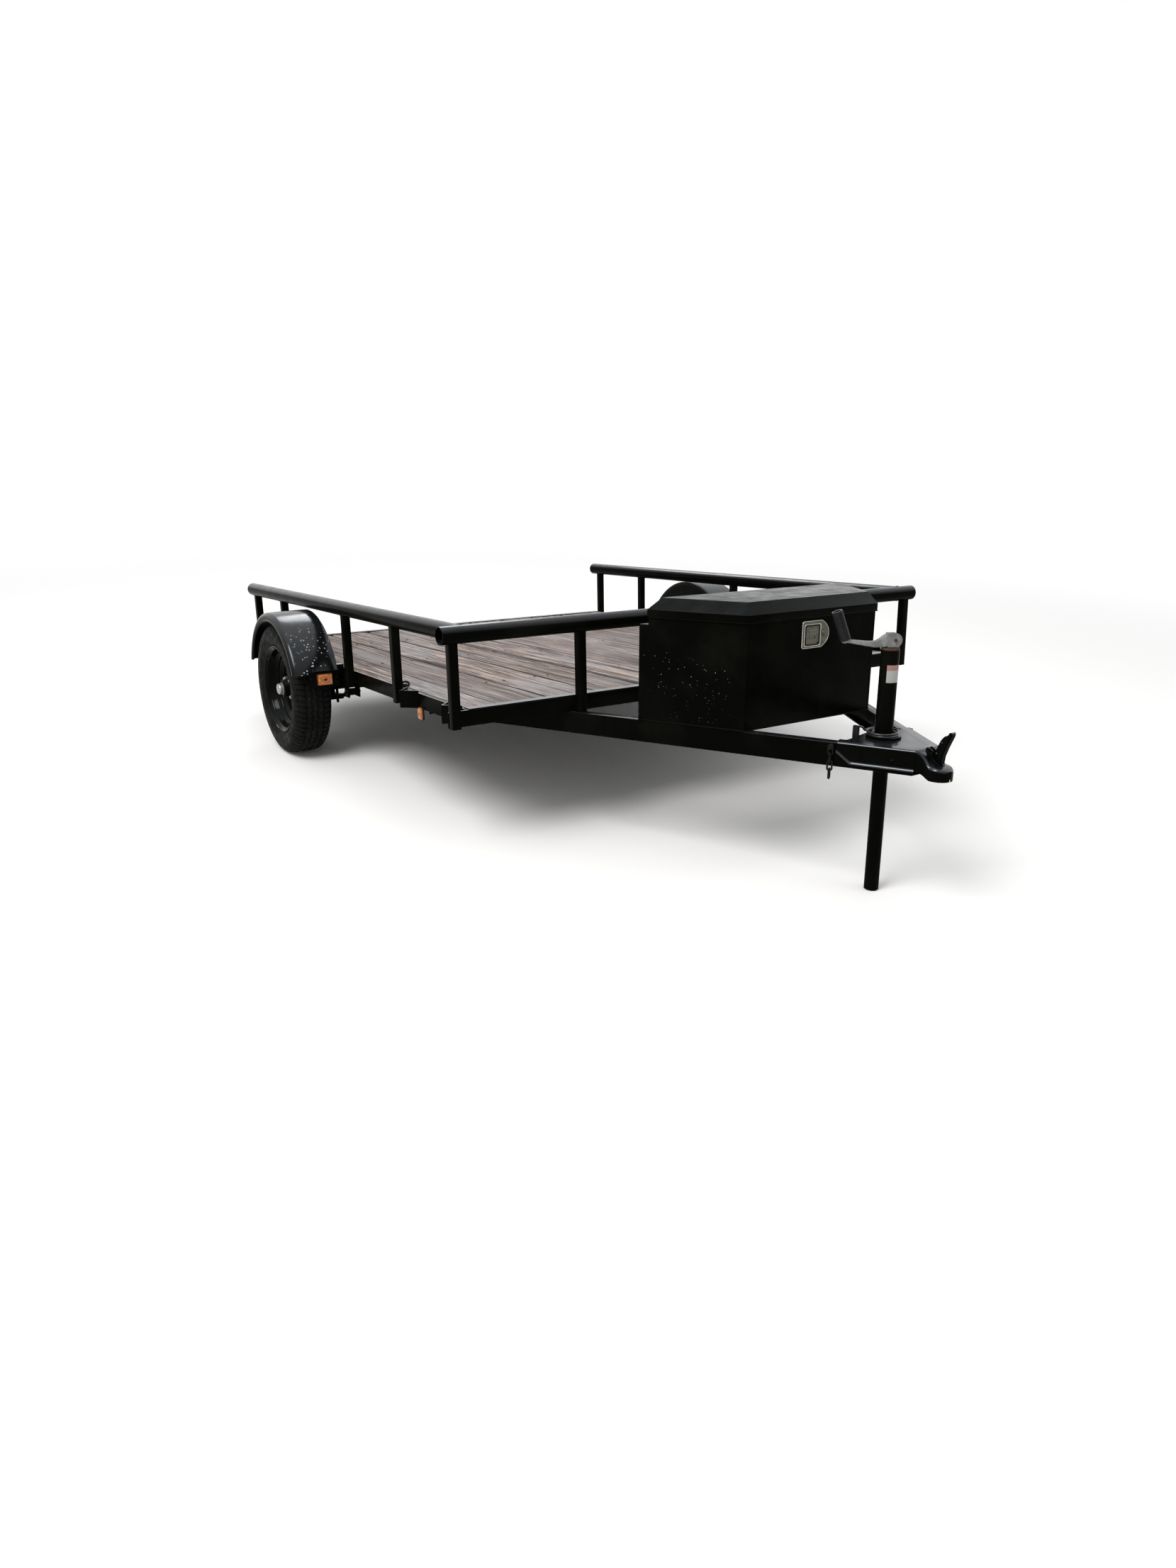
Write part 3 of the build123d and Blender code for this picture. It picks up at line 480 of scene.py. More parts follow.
def cast_paint():
    """The crank's grey finish, rusting at its pivot."""
    f = Finish("crank grey", (0.24, 0.25, 0.25), 0.5, 0.1, Specular_IOR_Level=0.3)
    colour = f.mix(f.steps(f.noise(45, 6, 0.6), 0.35, 0.7), (0.1, 0.104, 0.1), (0.19, 0.195, 0.19))
    pivot = near_to(f, level_point(TONGUE, (8, -880, 246)), 0.022)
    stain = f.math("MULTIPLY", f.steps(f.noise(150, 7, 0.7), 0.46, 0.56), pivot)
    colour = f.mix(stain, colour, (0.10, 0.03, 0.017))
    f.colour(colour)
    f.bump(f.noise(260, 5, 0.6), 0.2, 0.0006)
    return f.material


def rust():
    f = Finish("rust", (0.12, 0.05, 0.032), 0.85, Specular_IOR_Level=0.2)
    f.colour(f.mix(f.steps(f.noise(220, 8, 0.7), 0.35, 0.7), (0.075, 0.038, 0.028), (0.025, 0.012, 0.008)))
    f.bump(f.noise(700, 6, 0.7), 0.5, 0.0008)
    return f.material


def lens(name, deep, bright):
    f = Finish(name, bright, 0.16, 0.0, Coat_Weight=0.3, Coat_Roughness=0.08)
    f.colour(f.mix(f.steps(f.noise(90, 4, 0.6), 0.35, 0.7), deep, bright))
    f.bump(f.noise(500, 3, 0.5), 0.06, 0.0003)
    return f.material


def moulded(name, colour, rough=0.5, shine=0.12):
    f = Finish(name, colour, rough, Specular_IOR_Level=shine)
    f.colour(f.mix(f.steps(f.noise(40, 6, 0.6), 0.4, 0.75), colour, tuple(c * 1.8 + 0.002 for c in colour)))
    f.bump(f.noise(650, 4, 0.5), 0.2, 0.0004)
    return f.material


def sticker(header):
    """A blank sticker, darker above its header's height, with paler blotches."""
    f = Finish("blank sticker", (0.6, 0.6, 0.58), 0.5)
    tint = f.steps(f.axis(f.place()), header - 0.001, header + 0.001)
    colour = f.mix(tint, (0.27, 0.275, 0.26), (0.22, 0.12, 0.1))
    f.colour(f.mix(f.steps(f.noise(120, 5, 0.6), 0.5, 0.8, 0.0, 0.35), colour, (0.35, 0.33, 0.3)))
    f.bump(f.noise(300, 3, 0.5), 0.1, 0.0003)
    return f.material


# (place, radius in metres, share) of the water drops on the toolbox, whose glints are painted as pale dots,
# and of the fenders' chips
TOOLBOX_DROPS = [(level_point(TONGUE, at), radius, share) for at, radius, share in (
    ((-460, -290, 125), 0.11, 0.7), ((-390, -400, 115), 0.08, 0.7),
    ((-350, -490, 105), 0.07, 0.7), ((-390, -420, 20), 0.13, 0.35))]
FENDER_CHIPS = [(level_point(BED, at), radius, 0.9) for at, radius in (
    ((-1135, 1205, 130), 0.13), ((-1170, 1135, 20), 0.09))]
BLACK = paint("black paint", rough=0.2)
BOX_PAINT = paint("toolbox paint", rough=0.26, dust=0.03, sheen=0.17, wall=0.014, dust_and_sky_tint=0.17,
                  drops=TOOLBOX_DROPS)
FENDER_PAINT = paint("fender paint", rough=0.15, dust=0.2, sheen=0.6, wall=0.025, dust_and_sky_tint=0.4, sky=(0, 0.9),
                     scuffs=FENDER_CHIPS)
FRAME_PAINT = paint("frame paint", rough=0.36, dust=0.35, sheen=0.35, dust_and_sky_tint=0.4)
WET_PAINT = paint("wet paint", rough=0.15, dust=0.15, sheen=0.85, wall=0.02, dust_and_sky_tint=0.7, sky=(0.15, 0.75))
RIM_PAINT = paint("rim paint", rough=0.1, dust=0.05, sheen=0.14, wall=0.03, dust_and_sky_tint=0.05, sky=(0, 0.9))
WOOD = wood()
RUBBER = rubber()
ZINC = bare_metal("zinc", (0.34, 0.34, 0.33), 0.4)
# a lighter copy of the stainless for the latch's edges: painted highlight
STAINLESS_HIGHLIGHT = bare_metal("stainless painted highlight", (0.46, 0.45, 0.4), 0.25)
STAINLESS = bare_metal("stainless", (0.1, 0.097, 0.075), 0.3, grain=(1, 1, 12))
CHAIN_STEEL = bare_metal("chain steel", (0.011, 0.01, 0.0085), 0.5, stain=(0.02, 0.01, 0.007))
CRANK_GREY = cast_paint()
RUST = rust()
AMBER = lens("amber lens", (0.26, 0.06, 0.003), (0.47, 0.14, 0.008))
RED = lens("red lens", (0.3, 0.01, 0.01), (0.48, 0.02, 0.02))
PLASTIC = moulded("black plastic", (0.0045, 0.0045, 0.0047), 0.42)
CABLE = moulded("cable sheath", (0.009, 0.009, 0.0095), 0.25, 0.7)
STICKER = sticker(level_point(TONGUE, (-18, -900, 166)).z)

# ---- deck ---------------------------------------------------------------------------------
EDGE_INSIDE = 1019           # between the side members' webs, from the centre
LAST_BOARD_END = EDGE_INSIDE + 3
FIRST_BOARD = 138
NARROWEST_BOARD = 30         # less than this goes to the board before it
BOARD_PITCH = 203
BOARD_GAP = 4
BOARD_THICK = 38
BOARD_EDGE = 4.5             # radius of a plank's upper edges
BOARD_TOP = 2.0              # nothing of a plank stands higher
BOARD_TONES = (0.1, 0.75, 0.2, 0.45, 0.0, 0.6, 0.25, 0.8, 0.35, 0.55, 0.15)
BOARD_ROWS, BOARD_ACROSS = 150, 16
CROSS_PLACES = (30, 445, 1155, 1815, 2280)   # where the boards are screwed down
SCREW_INSET = 32
END_STRIP_WIDE = 36          # steel over the planks' ends
END_STRIP_TOP = 3.2


def board_spans():
    spans, left = [], -EDGE_INSIDE + 1
    right = -EDGE_INSIDE + FIRST_BOARD
    while left < EDGE_INSIDE - NARROWEST_BOARD:
        spans.append((left, min(right, LAST_BOARD_END) - BOARD_GAP))
        left, right = right, right + BOARD_PITCH
        if EDGE_INSIDE - right < NARROWEST_BOARD:
            right = LAST_BOARD_END
    return spans


def worn(y, number, side):
    """How far a plank's side has worn back at a place along it."""
    broad = noise.noise(Vector((y * 0.02, number * 5.1 + side * 2.3, 0.5)))
    chips = noise.noise(Vector((y * 0.09, number * 3.3, side * 4.7)))
    return abs(1.1 * broad + 1.3 * max(0, chips - 0.25))


def deck():
    low, high = room("deck_boards", BED)
    shape = Shape()
    layers = shape.bm.verts.layers
    tags = layers.float_vector.new("board")
    tones = layers.float.new("tone")
    seam_shades = layers.float.new("seam_shade")
    draw = random.Random(7)
    for number, (x0, x1) in enumerate(board_spans()):
        tag = Vector((number * 3.7, draw.uniform(0, 9), draw.uniform(0, 9)))
        lift, cup = draw.uniform(-1.2, 1.0), draw.uniform(-1.6, 1.6)
        sections = []
        for i in range(BOARD_ROWS + 1):
            y = low.y + (high.y - low.y) * i / BOARD_ROWS
            a, b = x0 + worn(y, number, 0), x1 - worn(y, number, 1)
            ring = [(a, -BOARD_THICK), (a, -BOARD_EDGE)]
            for k in range(BOARD_ACROSS + 1):
                t = k / BOARD_ACROSS
                x = a + (b - a) * t
                short = BOARD_EDGE - min(x - a, b - x, BOARD_EDGE)
                round_off = BOARD_EDGE - sqrt(max(BOARD_EDGE ** 2 - short ** 2, 0))
                wave = 0.7 * noise.noise(Vector((x * 0.03, y * 0.004, number)))
                fibre = 0.35 * noise.noise(Vector((x * 0.16, y * 0.008, number + 40)))
                crown = cup * (4 * (t - 0.5) ** 2 - 0.5)
                ring.append((x, min(lift + wave + fibre + crown - round_off, BOARD_TOP)))
            ring += [(b, -BOARD_EDGE), (b, -BOARD_THICK)]
            sections.append([Vector((x, y, z)) for x, z in ring])
        made = shape.grid(sections, closed_columns=True)
        for row in made:
            for place, v in enumerate(row):
                v[tags] = tag
                v[tones] = BOARD_TONES[number % len(BOARD_TONES)]
                # 1 on a plank's sides and top edges, where the painted seam shade goes
                v[seam_shades] = 0 if 2 < place < BOARD_ACROSS + 2 else 1
        shape.bm.faces.new(made[0])
        shape.bm.faces.new(made[-1])
    piece("deck_planks", shape, WOOD, "deck_wood", place=BED, smooth=50, replaces=["deck_boards"])


def end_strips():
    """Steel laid over the planks' front and rear ends."""
    low, high = room("deck_boards", BED)
    for end, y0, y1 in (("front", 0.4, END_STRIP_WIDE), ("rear", high.y - END_STRIP_WIDE, high.y + 5.6)):
        shape = Shape().box(low.x + 1, high.x - 1, y0, y1, -2, END_STRIP_TOP)
        piece(f"{end}_end_strip", shape, WET_PAINT, place=BED, bevel=1)


def deck_screws():
    shape = Shape()
    draw = random.Random(11)
    for x0, x1 in board_spans():
        for y in CROSS_PLACES:
            for x in (x0 + SCREW_INSET, x1 - SCREW_INSET):
                at = toward((x + draw.uniform(-6, 6), y + draw.uniform(-5, 5), -1.6), (0, 0, 1))
                shape.turned([(0, 0.6), (1.8, 0.4), (2.2, 2.2), (4.6, 2.4), (4.9, 1.6), (4.9, -2)], at, 12)
    piece("deck_screws", shape, CHAIN_STEEL, "deck_wood", place=BED)


# ---- rails and posts ----------------------------------------------------------------------
RAIL_OD = 60.3
RAIL_WALL = 3.9
RAIL_HEIGHT = 255
POST_CORNER = 4
POST_WALL = 3
POST_TOP = RAIL_HEIGHT - 25.8    # inside the pipe
POST_DEPTH = 40              # of the hollow that shows in a post's foot
POST_BEAD = 2.2              # radius of the weld round it
FOOT_WELD = (-53, -2)        # heights between which a post is welded to the edge
POSTS = ("side_front_post", "side_fore_wheel_post", "side_aft_wheel_post", "side_rear_post",
         "front_corner_post", "front_middle_post")


def pipe_along(node, axis):
    low, high = room(node, BED)
    start, along = (low + high) / 2, Vector((0, 0, 0))
    start[axis], along[axis] = low[axis], 1
    return Shape().pipe(high[axis] - low[axis], RAIL_OD, RAIL_WALL, toward(start, along), 56)


def rails():
    piece("front_pipe", pipe_along("front_rail", 0), BLACK, place=BED, replaces=["front_rail"])
    both("side_pipe", lambda: pipe_along("near_side_rail", 1), BLACK, replaces=["side_rail"])


def post_shape(node):
    low, high = room(node, BED)
    rows = []
    for wall, z in ((POST_WALL, low.z + POST_DEPTH), (POST_WALL, low.z), (0, low.z), (0, POST_TOP)):
        outline = rounded(low.x + wall, high.x - wall, low.y + wall, high.y - wall, POST_CORNER - wall / 2, 4)
        rows.append([Vector((x, y, z)) for x, y in outline])
    return Shape().loft(rows)


def post_welds(node, along_x):
    """A bead where a post meets the pipe above it."""
    low, high = room(node, BED)
    cx, cy = (low.x + high.x) / 2, (low.y + high.y) / 2
    half, r = (high.x - low.x) / 2, RAIL_OD / 2
    loop = []
    for turn in circle(24):
        big = max(abs(cos(turn)), abs(sin(turn)))
        dx, dy = half * cos(turn) / big, half * sin(turn) / big
        drop = min(abs(dy if along_x else dx), r)
        loop.append((cx + dx * 1.02, cy + dy * 1.02, RAIL_HEIGHT - sqrt(r * r - drop ** 2) + 0.5))
    return Shape().weld(loop + loop[:1], POST_BEAD, seed=int(abs(cx) + cy) % 97)


def post_foot_welds(node, along_x):
    """Beads down a post's inner corners, on the steel edge behind or beside it."""
    low, high = room(node, BED)
    shape = Shape()
    corners = [(x, high.y + 0.5) for x in (low.x, high.x)] if along_x else \
        [(high.x + 0.5, y) for y in (low.y, high.y)]
    for x, y in corners:
        shape.weld([(x, y, z) for z in FOOT_WELD], POST_BEAD, 5)
    return shape


def posts():
    for post in POSTS:
        node, along_x = "near_" + post, post.startswith("front")
        both(post + "_tube", lambda: post_shape(node), BLACK, replaces=[post])
        both(post + "_welds", lambda: post_welds(node, along_x), BLACK, smooth=60)
        both(post + "_foot_welds", lambda: post_foot_welds(node, along_x), BLACK, smooth=60)


def rail_corner_welds():
    low, high = room("near_side_rail", BED)
    x, r = (low.x + high.x) / 2, RAIL_OD / 2
    loop = [(x + r * cos(t), low.y + r * abs(cos(t)) + 1, RAIL_HEIGHT + r * sin(t)) for t in circle(40)]
    return Shape().weld(loop + loop[:1], 2.6, 21)


# ---- frame --------------------------------------------------------------------------------
WORKED = ("front_member", "rear_member", "cross_member_1", "cross_member_2", "cross_member_3",
          "near_side_member", "far_side_member", "box_support",
          "near_tongue_channel", "far_tongue_channel", "axle", "near_leaf_spring", "far_leaf_spring")
TIE_RING = (-1003, 555, 10)


def frame_parts():
    for node in WORKED:
        from_cad(node, FRAME_PAINT if "spring" in node or node == "axle" else BLACK, 1.2)
    for node in sorted(frame["nodes"]):
        if "stake_pocket" in node:
            from_cad(node, BLACK, 1.4)


def tie_ring():
    """A small rope ring and its clip on the near edge of the bed."""
    x, y, z = TIE_RING
    ring = [(x + 13 * cos(t), y + 8 * sin(t), z + 7 * sin(t)) for t in circle(24)]
    shape = Shape().sweep(ring, 4.2, 10, closed=True)
    shape.box(x - 8, x + 12, y - 8, y + 8, 0, 4)
    return shape.sweep([(x - 7, y, 2), (x - 5, y, 8), (x + 3, y, 8), (x + 7, y, 2)], 2.6, 8)


# ---- fenders and lamps --------------------------------------------------------------------
FENDER_RADIUS = 336
FENDER_BOTTOM = -15
FENDER_INNER = -1056         # X of the edge beside the bed
FENDER_DROP = FENDER_BOTTOM - AXLE_Z
FENDER_STEPS = 84
BRACKET_FACES = (-1059, -1024)   # X of a fender bracket's outer and inner face
BRACKET_PLACES = (AXLE_Y - 300, AXLE_Y + 260)
BRACKET_WIDE = 40


def fender_shape():
    outer = room("near_fender", BED)[0].x
    inner, radius, drop = FENDER_INNER, FENDER_RADIUS, FENDER_DROP
    roll, lip, sheet, crown = 20, 17, 2.4, 3.2
    profile = [(inner, radius - 26), (inner, radius - 5), (inner - 1.5, radius - 1.5), (inner - 5, radius)]
    width = abs(outer - inner)
    for k in range(1, 9):
        t = k / 8
        profile.append((inner - 5 - (width - roll - 5) * t, radius - crown * t * t))
    profile += [(outer + roll * (1 - sin(t)), radius - crown - roll * (1 - cos(t)))
                for t in arc(0, pi / 2, 7, 1)]
    edge = profile[-1][1]
    hem = ((0.5, 0.4), (2, 0.75), (5.5, 1), (9, 0.8), (8, 0.4))
    profile += [(outer + x, edge - lip * share) for x, share in hem]
    under = [(x + (sheet if x < outer + 12 else 0), r - sheet) for x, r in reversed(profile[4:-3])]
    under += [(inner - sheet, radius - 26)]
    rows = []
    for i in range(FENDER_STEPS + 1):
        row = []
        for x, r in profile + under:
            # the ends are cut level, so an inner layer ends a little later than the outer one
            first = atan2(drop, sqrt(r * r - drop * drop))
            turn = first + (pi - 2 * first) * i / FENDER_STEPS
            dent = 0.9 * noise.noise(Vector((x * 0.012, turn * 2.2, 3.1)))
            row.append(Vector((x, AXLE_Y - (r + dent) * cos(turn), AXLE_Z + (r + dent) * sin(turn))))
        rows.append(row)
    shape = Shape().loft(rows)
    # the flat plate that closes the fender towards the bed
    start, r = atan2(drop, sqrt(radius ** 2 - drop ** 2)), radius - 6
    plate = [(AXLE_Y - r * cos(t), AXLE_Z + r * sin(t)) for t in arc(start, pi - start, 48)]
    return shape.prism(plate, inner - 3, inner - 0.2, SIDE_ON)


def fender_fixings():
    """Brackets on the side member, the lamp plate and their bolts."""
    shape = Shape()
    for y in BRACKET_PLACES:
        shape.box(*BRACKET_FACES, y, y + BRACKET_WIDE, FENDER_BOTTOM - 25, FENDER_BOTTOM + 30)
        for dy in (BRACKET_WIDE / 4, BRACKET_WIDE * 3 / 4):
            shape.hex_head((BRACKET_FACES[0], y + dy, FENDER_BOTTOM - 8), (-1, 0, 0), 11, 5)
    outer = room("near_fender", BED)[0].x
    front = AXLE_Y - sqrt(FENDER_RADIUS ** 2 - FENDER_DROP ** 2)
    shape.box(outer + 61, FENDER_INNER, front, front + 4, FENDER_BOTTOM - 56, FENDER_BOTTOM + 12)
    for x, rise, across, height in ((outer + 70, -22, 9, 4), (-1066, -22, 9, 4),
                                    (outer + 80, 6, 8, 3), (-1100, 6, 8, 3)):
        shape.hex_head((x, front, FENDER_BOTTOM + rise), (0, -1, 0), across, height)
    return shape


def fenders():
    both("fender_shell", fender_shape, FENDER_PAINT, smooth=42, replaces=["fender"])
    both("fender_brackets", fender_fixings, BLACK, bevel=0.5)


def lamp_room(node, outward):
    """The middle of a lamp's back, looking outward, and its width, height and depth."""
    low, high = room(node, BED)
    axis = 0 if outward[0] else 1
    back, size = (low + high) / 2, high - low
    back[axis] = high[axis] if outward[axis] < 0 else low[axis]
    return toward(back, outward), size[1 - axis], size.z, size[axis]


def panel(width, height, corner):
    return rounded(-width / 2, width / 2, -height / 2, height / 2, corner, 4)


def lamp_lens(node, outward):
    """A rounded body with a stepped face and moulded ribs."""
    at, width, height, depth = lamp_room(node, outward)
    shape = Shape().prism(panel(width * 0.86, height * 0.84, 4), depth * 0.3, depth * 0.72, at)
    shape.prism(panel(width * 0.76, height * 0.7, 3), depth * 0.7, depth * 0.92, at)
    for k in range(-3, 4):
        shape.box(-width * 0.32, width * 0.32, height * 0.08 * k - 1, height * 0.08 * k + 1,
                  depth * 0.9, depth * 0.97, at)
    return shape


def lamp_base(node, outward):
    """The housing behind a lens, its two screws and the mark in its middle."""
    at, width, height, depth = lamp_room(node, outward)
    shape = Shape().prism(panel(width - 1, height - 1, 5), 0, depth * 0.45, at)
    for sign in (-1, 1):
        shape.turned([(0, depth * 0.62), (2.2, depth * 0.62), (3.2, depth * 0.56), (3.2, depth * 0.4)],
                     at @ Matrix.Translation((sign * (width / 2 - 5), 0, 0)), 12)
    mark = at @ Matrix.Translation((0, 0, depth * 0.9))
    return shape.prism(panel(width * 0.18, height * 0.16, 1.5), 0, depth * 0.09, mark)


def lamps():
    for node, outward, finish, slot in (("fender_lamp", (0, -1, 0), AMBER, "amber_lens"),
                                        ("frame_lamp", (-1, 0, 0), AMBER, "amber_lens"),
                                        ("tail_lamp", (0, 1, 0), RED, "red_lens")):
        near = "near_" + node
        both(node + "_lens", lambda: lamp_lens(near, outward), finish, slot, bevel=0.8, replaces=[node])
        both(node + "_base", lambda: lamp_base(near, outward), PLASTIC, bevel=0.6)


# ---- wheels -------------------------------------------------------------------------------
WHEEL = toward((-WHEEL_X, AXLE_Y, AXLE_Z), (-1, 0, 0))   # Z points outboard
PITCHES = 72                 # of the tread, round the tyre
PITCH_LENGTH = 24.8
PITCH_STEPS = 8
GROOVES = (-37, -13, 13, 37)
TREAD_HALF = 56.5
TREAD_STEPS = 23
# (radius, distance from the middle plane, share of the tread's depth), from the bead outward
SIDEWALL = ((176, 55, 0), (184, 60, 0), (190.5, 63.8, 0), (194, 68, 0), (199, 71.5, 0), (203, 72.6, 0),
            (206, 75.2, 0), (213, 79.2, 0), (222, 81.9, 0), (225, 82.5, 0), (227, 81.9, 0), (236, 82.4, 0),
            (246, 81.2, 0), (249, 81.6, 0), (251, 80.4, 0), (257, 78.6, 0.25), (263, 76.0, 0.6),
            (268.5, 72.6, 0.8), (273.5, 68.4, 0.95), (277.5, 64.0, 1), (280.4, 59.8, 1))
TYRE_INSIDE = ((181, -48), (240, -68), (266, -50), (270, 0), (266, 50), (240, 68), (181, 48))
RIM_R = 190.5
# (depth below the rim's edge, distance outboard of the middle plane), outside and then inside
RIM_SECTION = ((1, 69), (0, 67), (0.5, 64), (6, 62), (13, 60), (16, 56), (19, 33), (22, 30), (33, 20),
               (34, 17), (34, -17), (33, -20), (20, -32), (16, -58), (7, -62), (0, -65), (0, -69),
               (6, -70), (20, -61), (25, -36), (38, -25), (39, -18), (39, 15), (38.5, 18), (37, 21),
               (33, 24.5), (30.5, 26), (29, 29), (26, 33), (24.5, 35), (24, 44), (22.5, 46), (22, 54),
               (20, 58.5), (17, 61.5), (11, 65), (8, 67.5), (6, 70), (3, 70.5))
# (radius, distance outboard) of the disc's outer face, from its bore out to the rim
DISC_FACE = ((38.8, 9), (42, 11), (60, 12.5), (68, 12), (74, 8), (80, 4.5), (88, 3.6), (126, 3.6),
             (132, 5.5), (137, 10), (142, 14.5), (147, 16.5), (RIM_R - 38.6, 17))
DISC_THICK = 5
LUG_TURNS = arc(radians(45), radians(315), 3)
LUG_CIRCLE = 100
HAND_HOLE_TURNS = arc(radians(22.5), radians(337.5), 7)
HAND_HOLE_CIRCLE = 224
HAND_HOLE_OD = 32
VALVE_TURN = 0.9
# (circle, distance outboard) along the valve's stem
VALVE_PATH = ((330, 44), (318, 54), (312, 64), (310, 72))
WEIGHT_TURN = -1.35          # of the balance weight clipped to the rim's edge
WEIGHT_CIRCLE = 372


def tyre_section():
    """The sidewall and tread of one side, then of the other."""
    half = list(SIDEWALL)
    for k in range(TREAD_STEPS + 1):
        x = TREAD_HALF * (1 - k / TREAD_STEPS)
        half.append((285 - 3.0 * (x / TREAD_HALF) ** 2.2, x, 1))
    return half + [(r, -x, share) for r, x, share in reversed(half[:-1])]


def groove(gap, deep, half, slope):
    """Depth at a distance from a groove's middle."""
    return deep * min(max((half - gap) / slope, 0), 1)


def tread_cut(x, turn):
    """Depth of the grooves at a place on the tread."""
    pitch = turn * PITCHES / (2 * pi)
    phase = pitch % 1
    zigzag = 2.6 * (abs(pitch % 2 - 1) * 2 - 1)
    depth = max(groove(abs(x - line - zigzag * (0.5 if abs(line) > 30 else 1)), 7, 4, 1.2)
                for line in GROOVES)
    if abs(x) > 37:
        skew = (phase + 0.006 * abs(x) + (0.5 if x >= 0 else 0)) % 1
        return max(depth, groove(min(skew, 1 - skew) * PITCH_LENGTH, 5.5, 3.3, 1))
    slant, deep, half = (0.018, 4.5, 1.9) if abs(x) > 13 else (-0.03, 3.5, 1.7)
    return max(depth, groove(abs((phase + slant * x) % 1 - 0.5) * PITCH_LENGTH, deep, half, 0.9))


def tyre_shape():
    section, rows = tyre_section(), []
    for turn in circle(PITCHES * PITCH_STEPS):
        points = []
        for r, x, share in section:
            cut = tread_cut(x, turn) * share if share else 0
            shoulder = abs(x) > 60
            out_x = x - (1 if x > 0 else -1) * cut * (0.7 if shoulder else 0)
            points.append((r - cut * (0.75 if shoulder else 1), out_x))
        points += TYRE_INSIDE
        rows.append([Vector((-WHEEL_X + x, AXLE_Y + r * cos(turn), AXLE_Z + r * sin(turn)))
                     for r, x in points])
    shape = Shape()
    shape.grid(rows, closed_rows=True, closed_columns=True)
    return shape


def rim_shape():
    return Shape().turned([(RIM_R - depth, out) for depth, out in RIM_SECTION], WHEEL, 96, ring=True)


def disc_shape():
    """The wheel's pressed disc, with its hand holes cut after."""
    back = [(r, z - DISC_THICK) for r, z in reversed(DISC_FACE)]
    return Shape().turned(list(DISC_FACE) + back, WHEEL, 96, ring=True)


def cut_holes(name, places, od, depth):
    """Cuts round holes through a piece, at places in the bed's frame."""
    ob = bpy.data.objects[name]
    cutter = Shape()
    for at in places:
        cutter.rod(2 * depth, od, at @ Matrix.Translation((0, 0, -depth)), 24, 0)
    tool = added("cutter", settled(cutter, "cutter", BED))
    mod = ob.modifiers.new("holes", "BOOLEAN")
    mod.object = tool
    mod.solver = "EXACT"
    bpy.context.view_layer.update()
    cut = bpy.data.meshes.new_from_object(ob.evaluated_get(bpy.context.evaluated_depsgraph_get()))
    ob.modifiers.clear()
    spare = [ob.data, tool.data]
    ob.data = cut
    bpy.data.objects.remove(tool)
    for mesh in spare:
        bpy.data.meshes.remove(mesh)
    cut.set_sharp_from_angle(angle=radians(35))


def on_disc(turn, across, out, side=-1):
    """A place on a circle round the axle, outboard of the wheel's middle."""
    return side * (WHEEL_X + out), AXLE_Y + across / 2 * cos(turn), AXLE_Z + across / 2 * sin(turn)


def lug_nuts():
    shape = Shape()
    for turn in LUG_TURNS:
        at = toward(on_disc(turn, LUG_CIRCLE, 10), (-1, 0, 0), 0.4)
        shape.turned([(8.5, 0), (8.5, 2), (11, 3.5)], at, 6)
        shape.turned([(0, 0), (9, 0), (11, 3), (11, 15), (8.5, 18.5), (6.2, 18.5)], at, 6)
        shape.rod(22, 12, at, 16)
        for k in range(3):
            shape.turned([(6, 18.8 + k), (6.5, 19.3 + k), (6, 19.8 + k)], at, 16)
    return shape


def hub_shape():
    """The turned hub with its flange, outboard end and inboard grease seal."""
    return Shape().turned([(0, 50), (34, 50), (38, 47), (38, 10), (38, -3), (66, -3), (67, -4.5), (67, -12),
                           (65, -13), (38, -13.5), (38, -70), (35, -72), (0, -72)], WHEEL, 64)


def dust_cap():
    return Shape().turned([(25.2, 49.5), (26.8, 50), (26.8, 52.5), (24.6, 54), (24.3, 63), (23, 67.5),
                           (20, 70), (14, 71.4), (7, 71.9), (0, 72)], WHEEL, 48)


def valve_stem():
    path = [on_disc(VALVE_TURN, across, out) for across, out in VALVE_PATH]
    return Shape().sweep(path, [5.5, 4.6, 3.6, 3.4], 12)


def wheel_weight():
    path = [on_disc(WEIGHT_TURN + 0.03 * k, WEIGHT_CIRCLE, 68) for k in range(8)]
    return Shape().sweep(path, [1.5, 3.2, 3.6, 3.6, 3.6, 3.6, 3.2, 1.5], 8, flat=0.7)


def wheels():
    for name, make, finish, slot, smooth, replaces in (
            ("tread_tyre", tyre_shape, RUBBER, "tyre", 42, ["tyre"]),
            ("rim_ring", rim_shape, RIM_PAINT, "black_paint", 50, ["wheel_rim"]),
            ("rim_disc", disc_shape, RIM_PAINT, "black_paint", 50, []),
            ("lug_nuts", lug_nuts, ZINC, "zinc", 30, []),
            ("hub_body", hub_shape, FRAME_PAINT, "zinc", 40, ["hub"]),
            ("dust_cap", dust_cap, ZINC, "zinc", 45, []),
            ("valve_stem", valve_stem, PLASTIC, "tyre", 35, []),
            ("wheel_weight", wheel_weight, ZINC, "zinc", 35, [])):
        both(name, make, finish, slot, {side: side + "_wheel" for side in SIDES}, replaces, smooth=smooth)
    for side, sign in SIDES.items():
        places = [toward(on_disc(turn, HAND_HOLE_CIRCLE, 4, sign), (1, 0, 0)) for turn in HAND_HOLE_TURNS]
        cut_holes(side + "_rim_disc", places, HAND_HOLE_OD, 30)


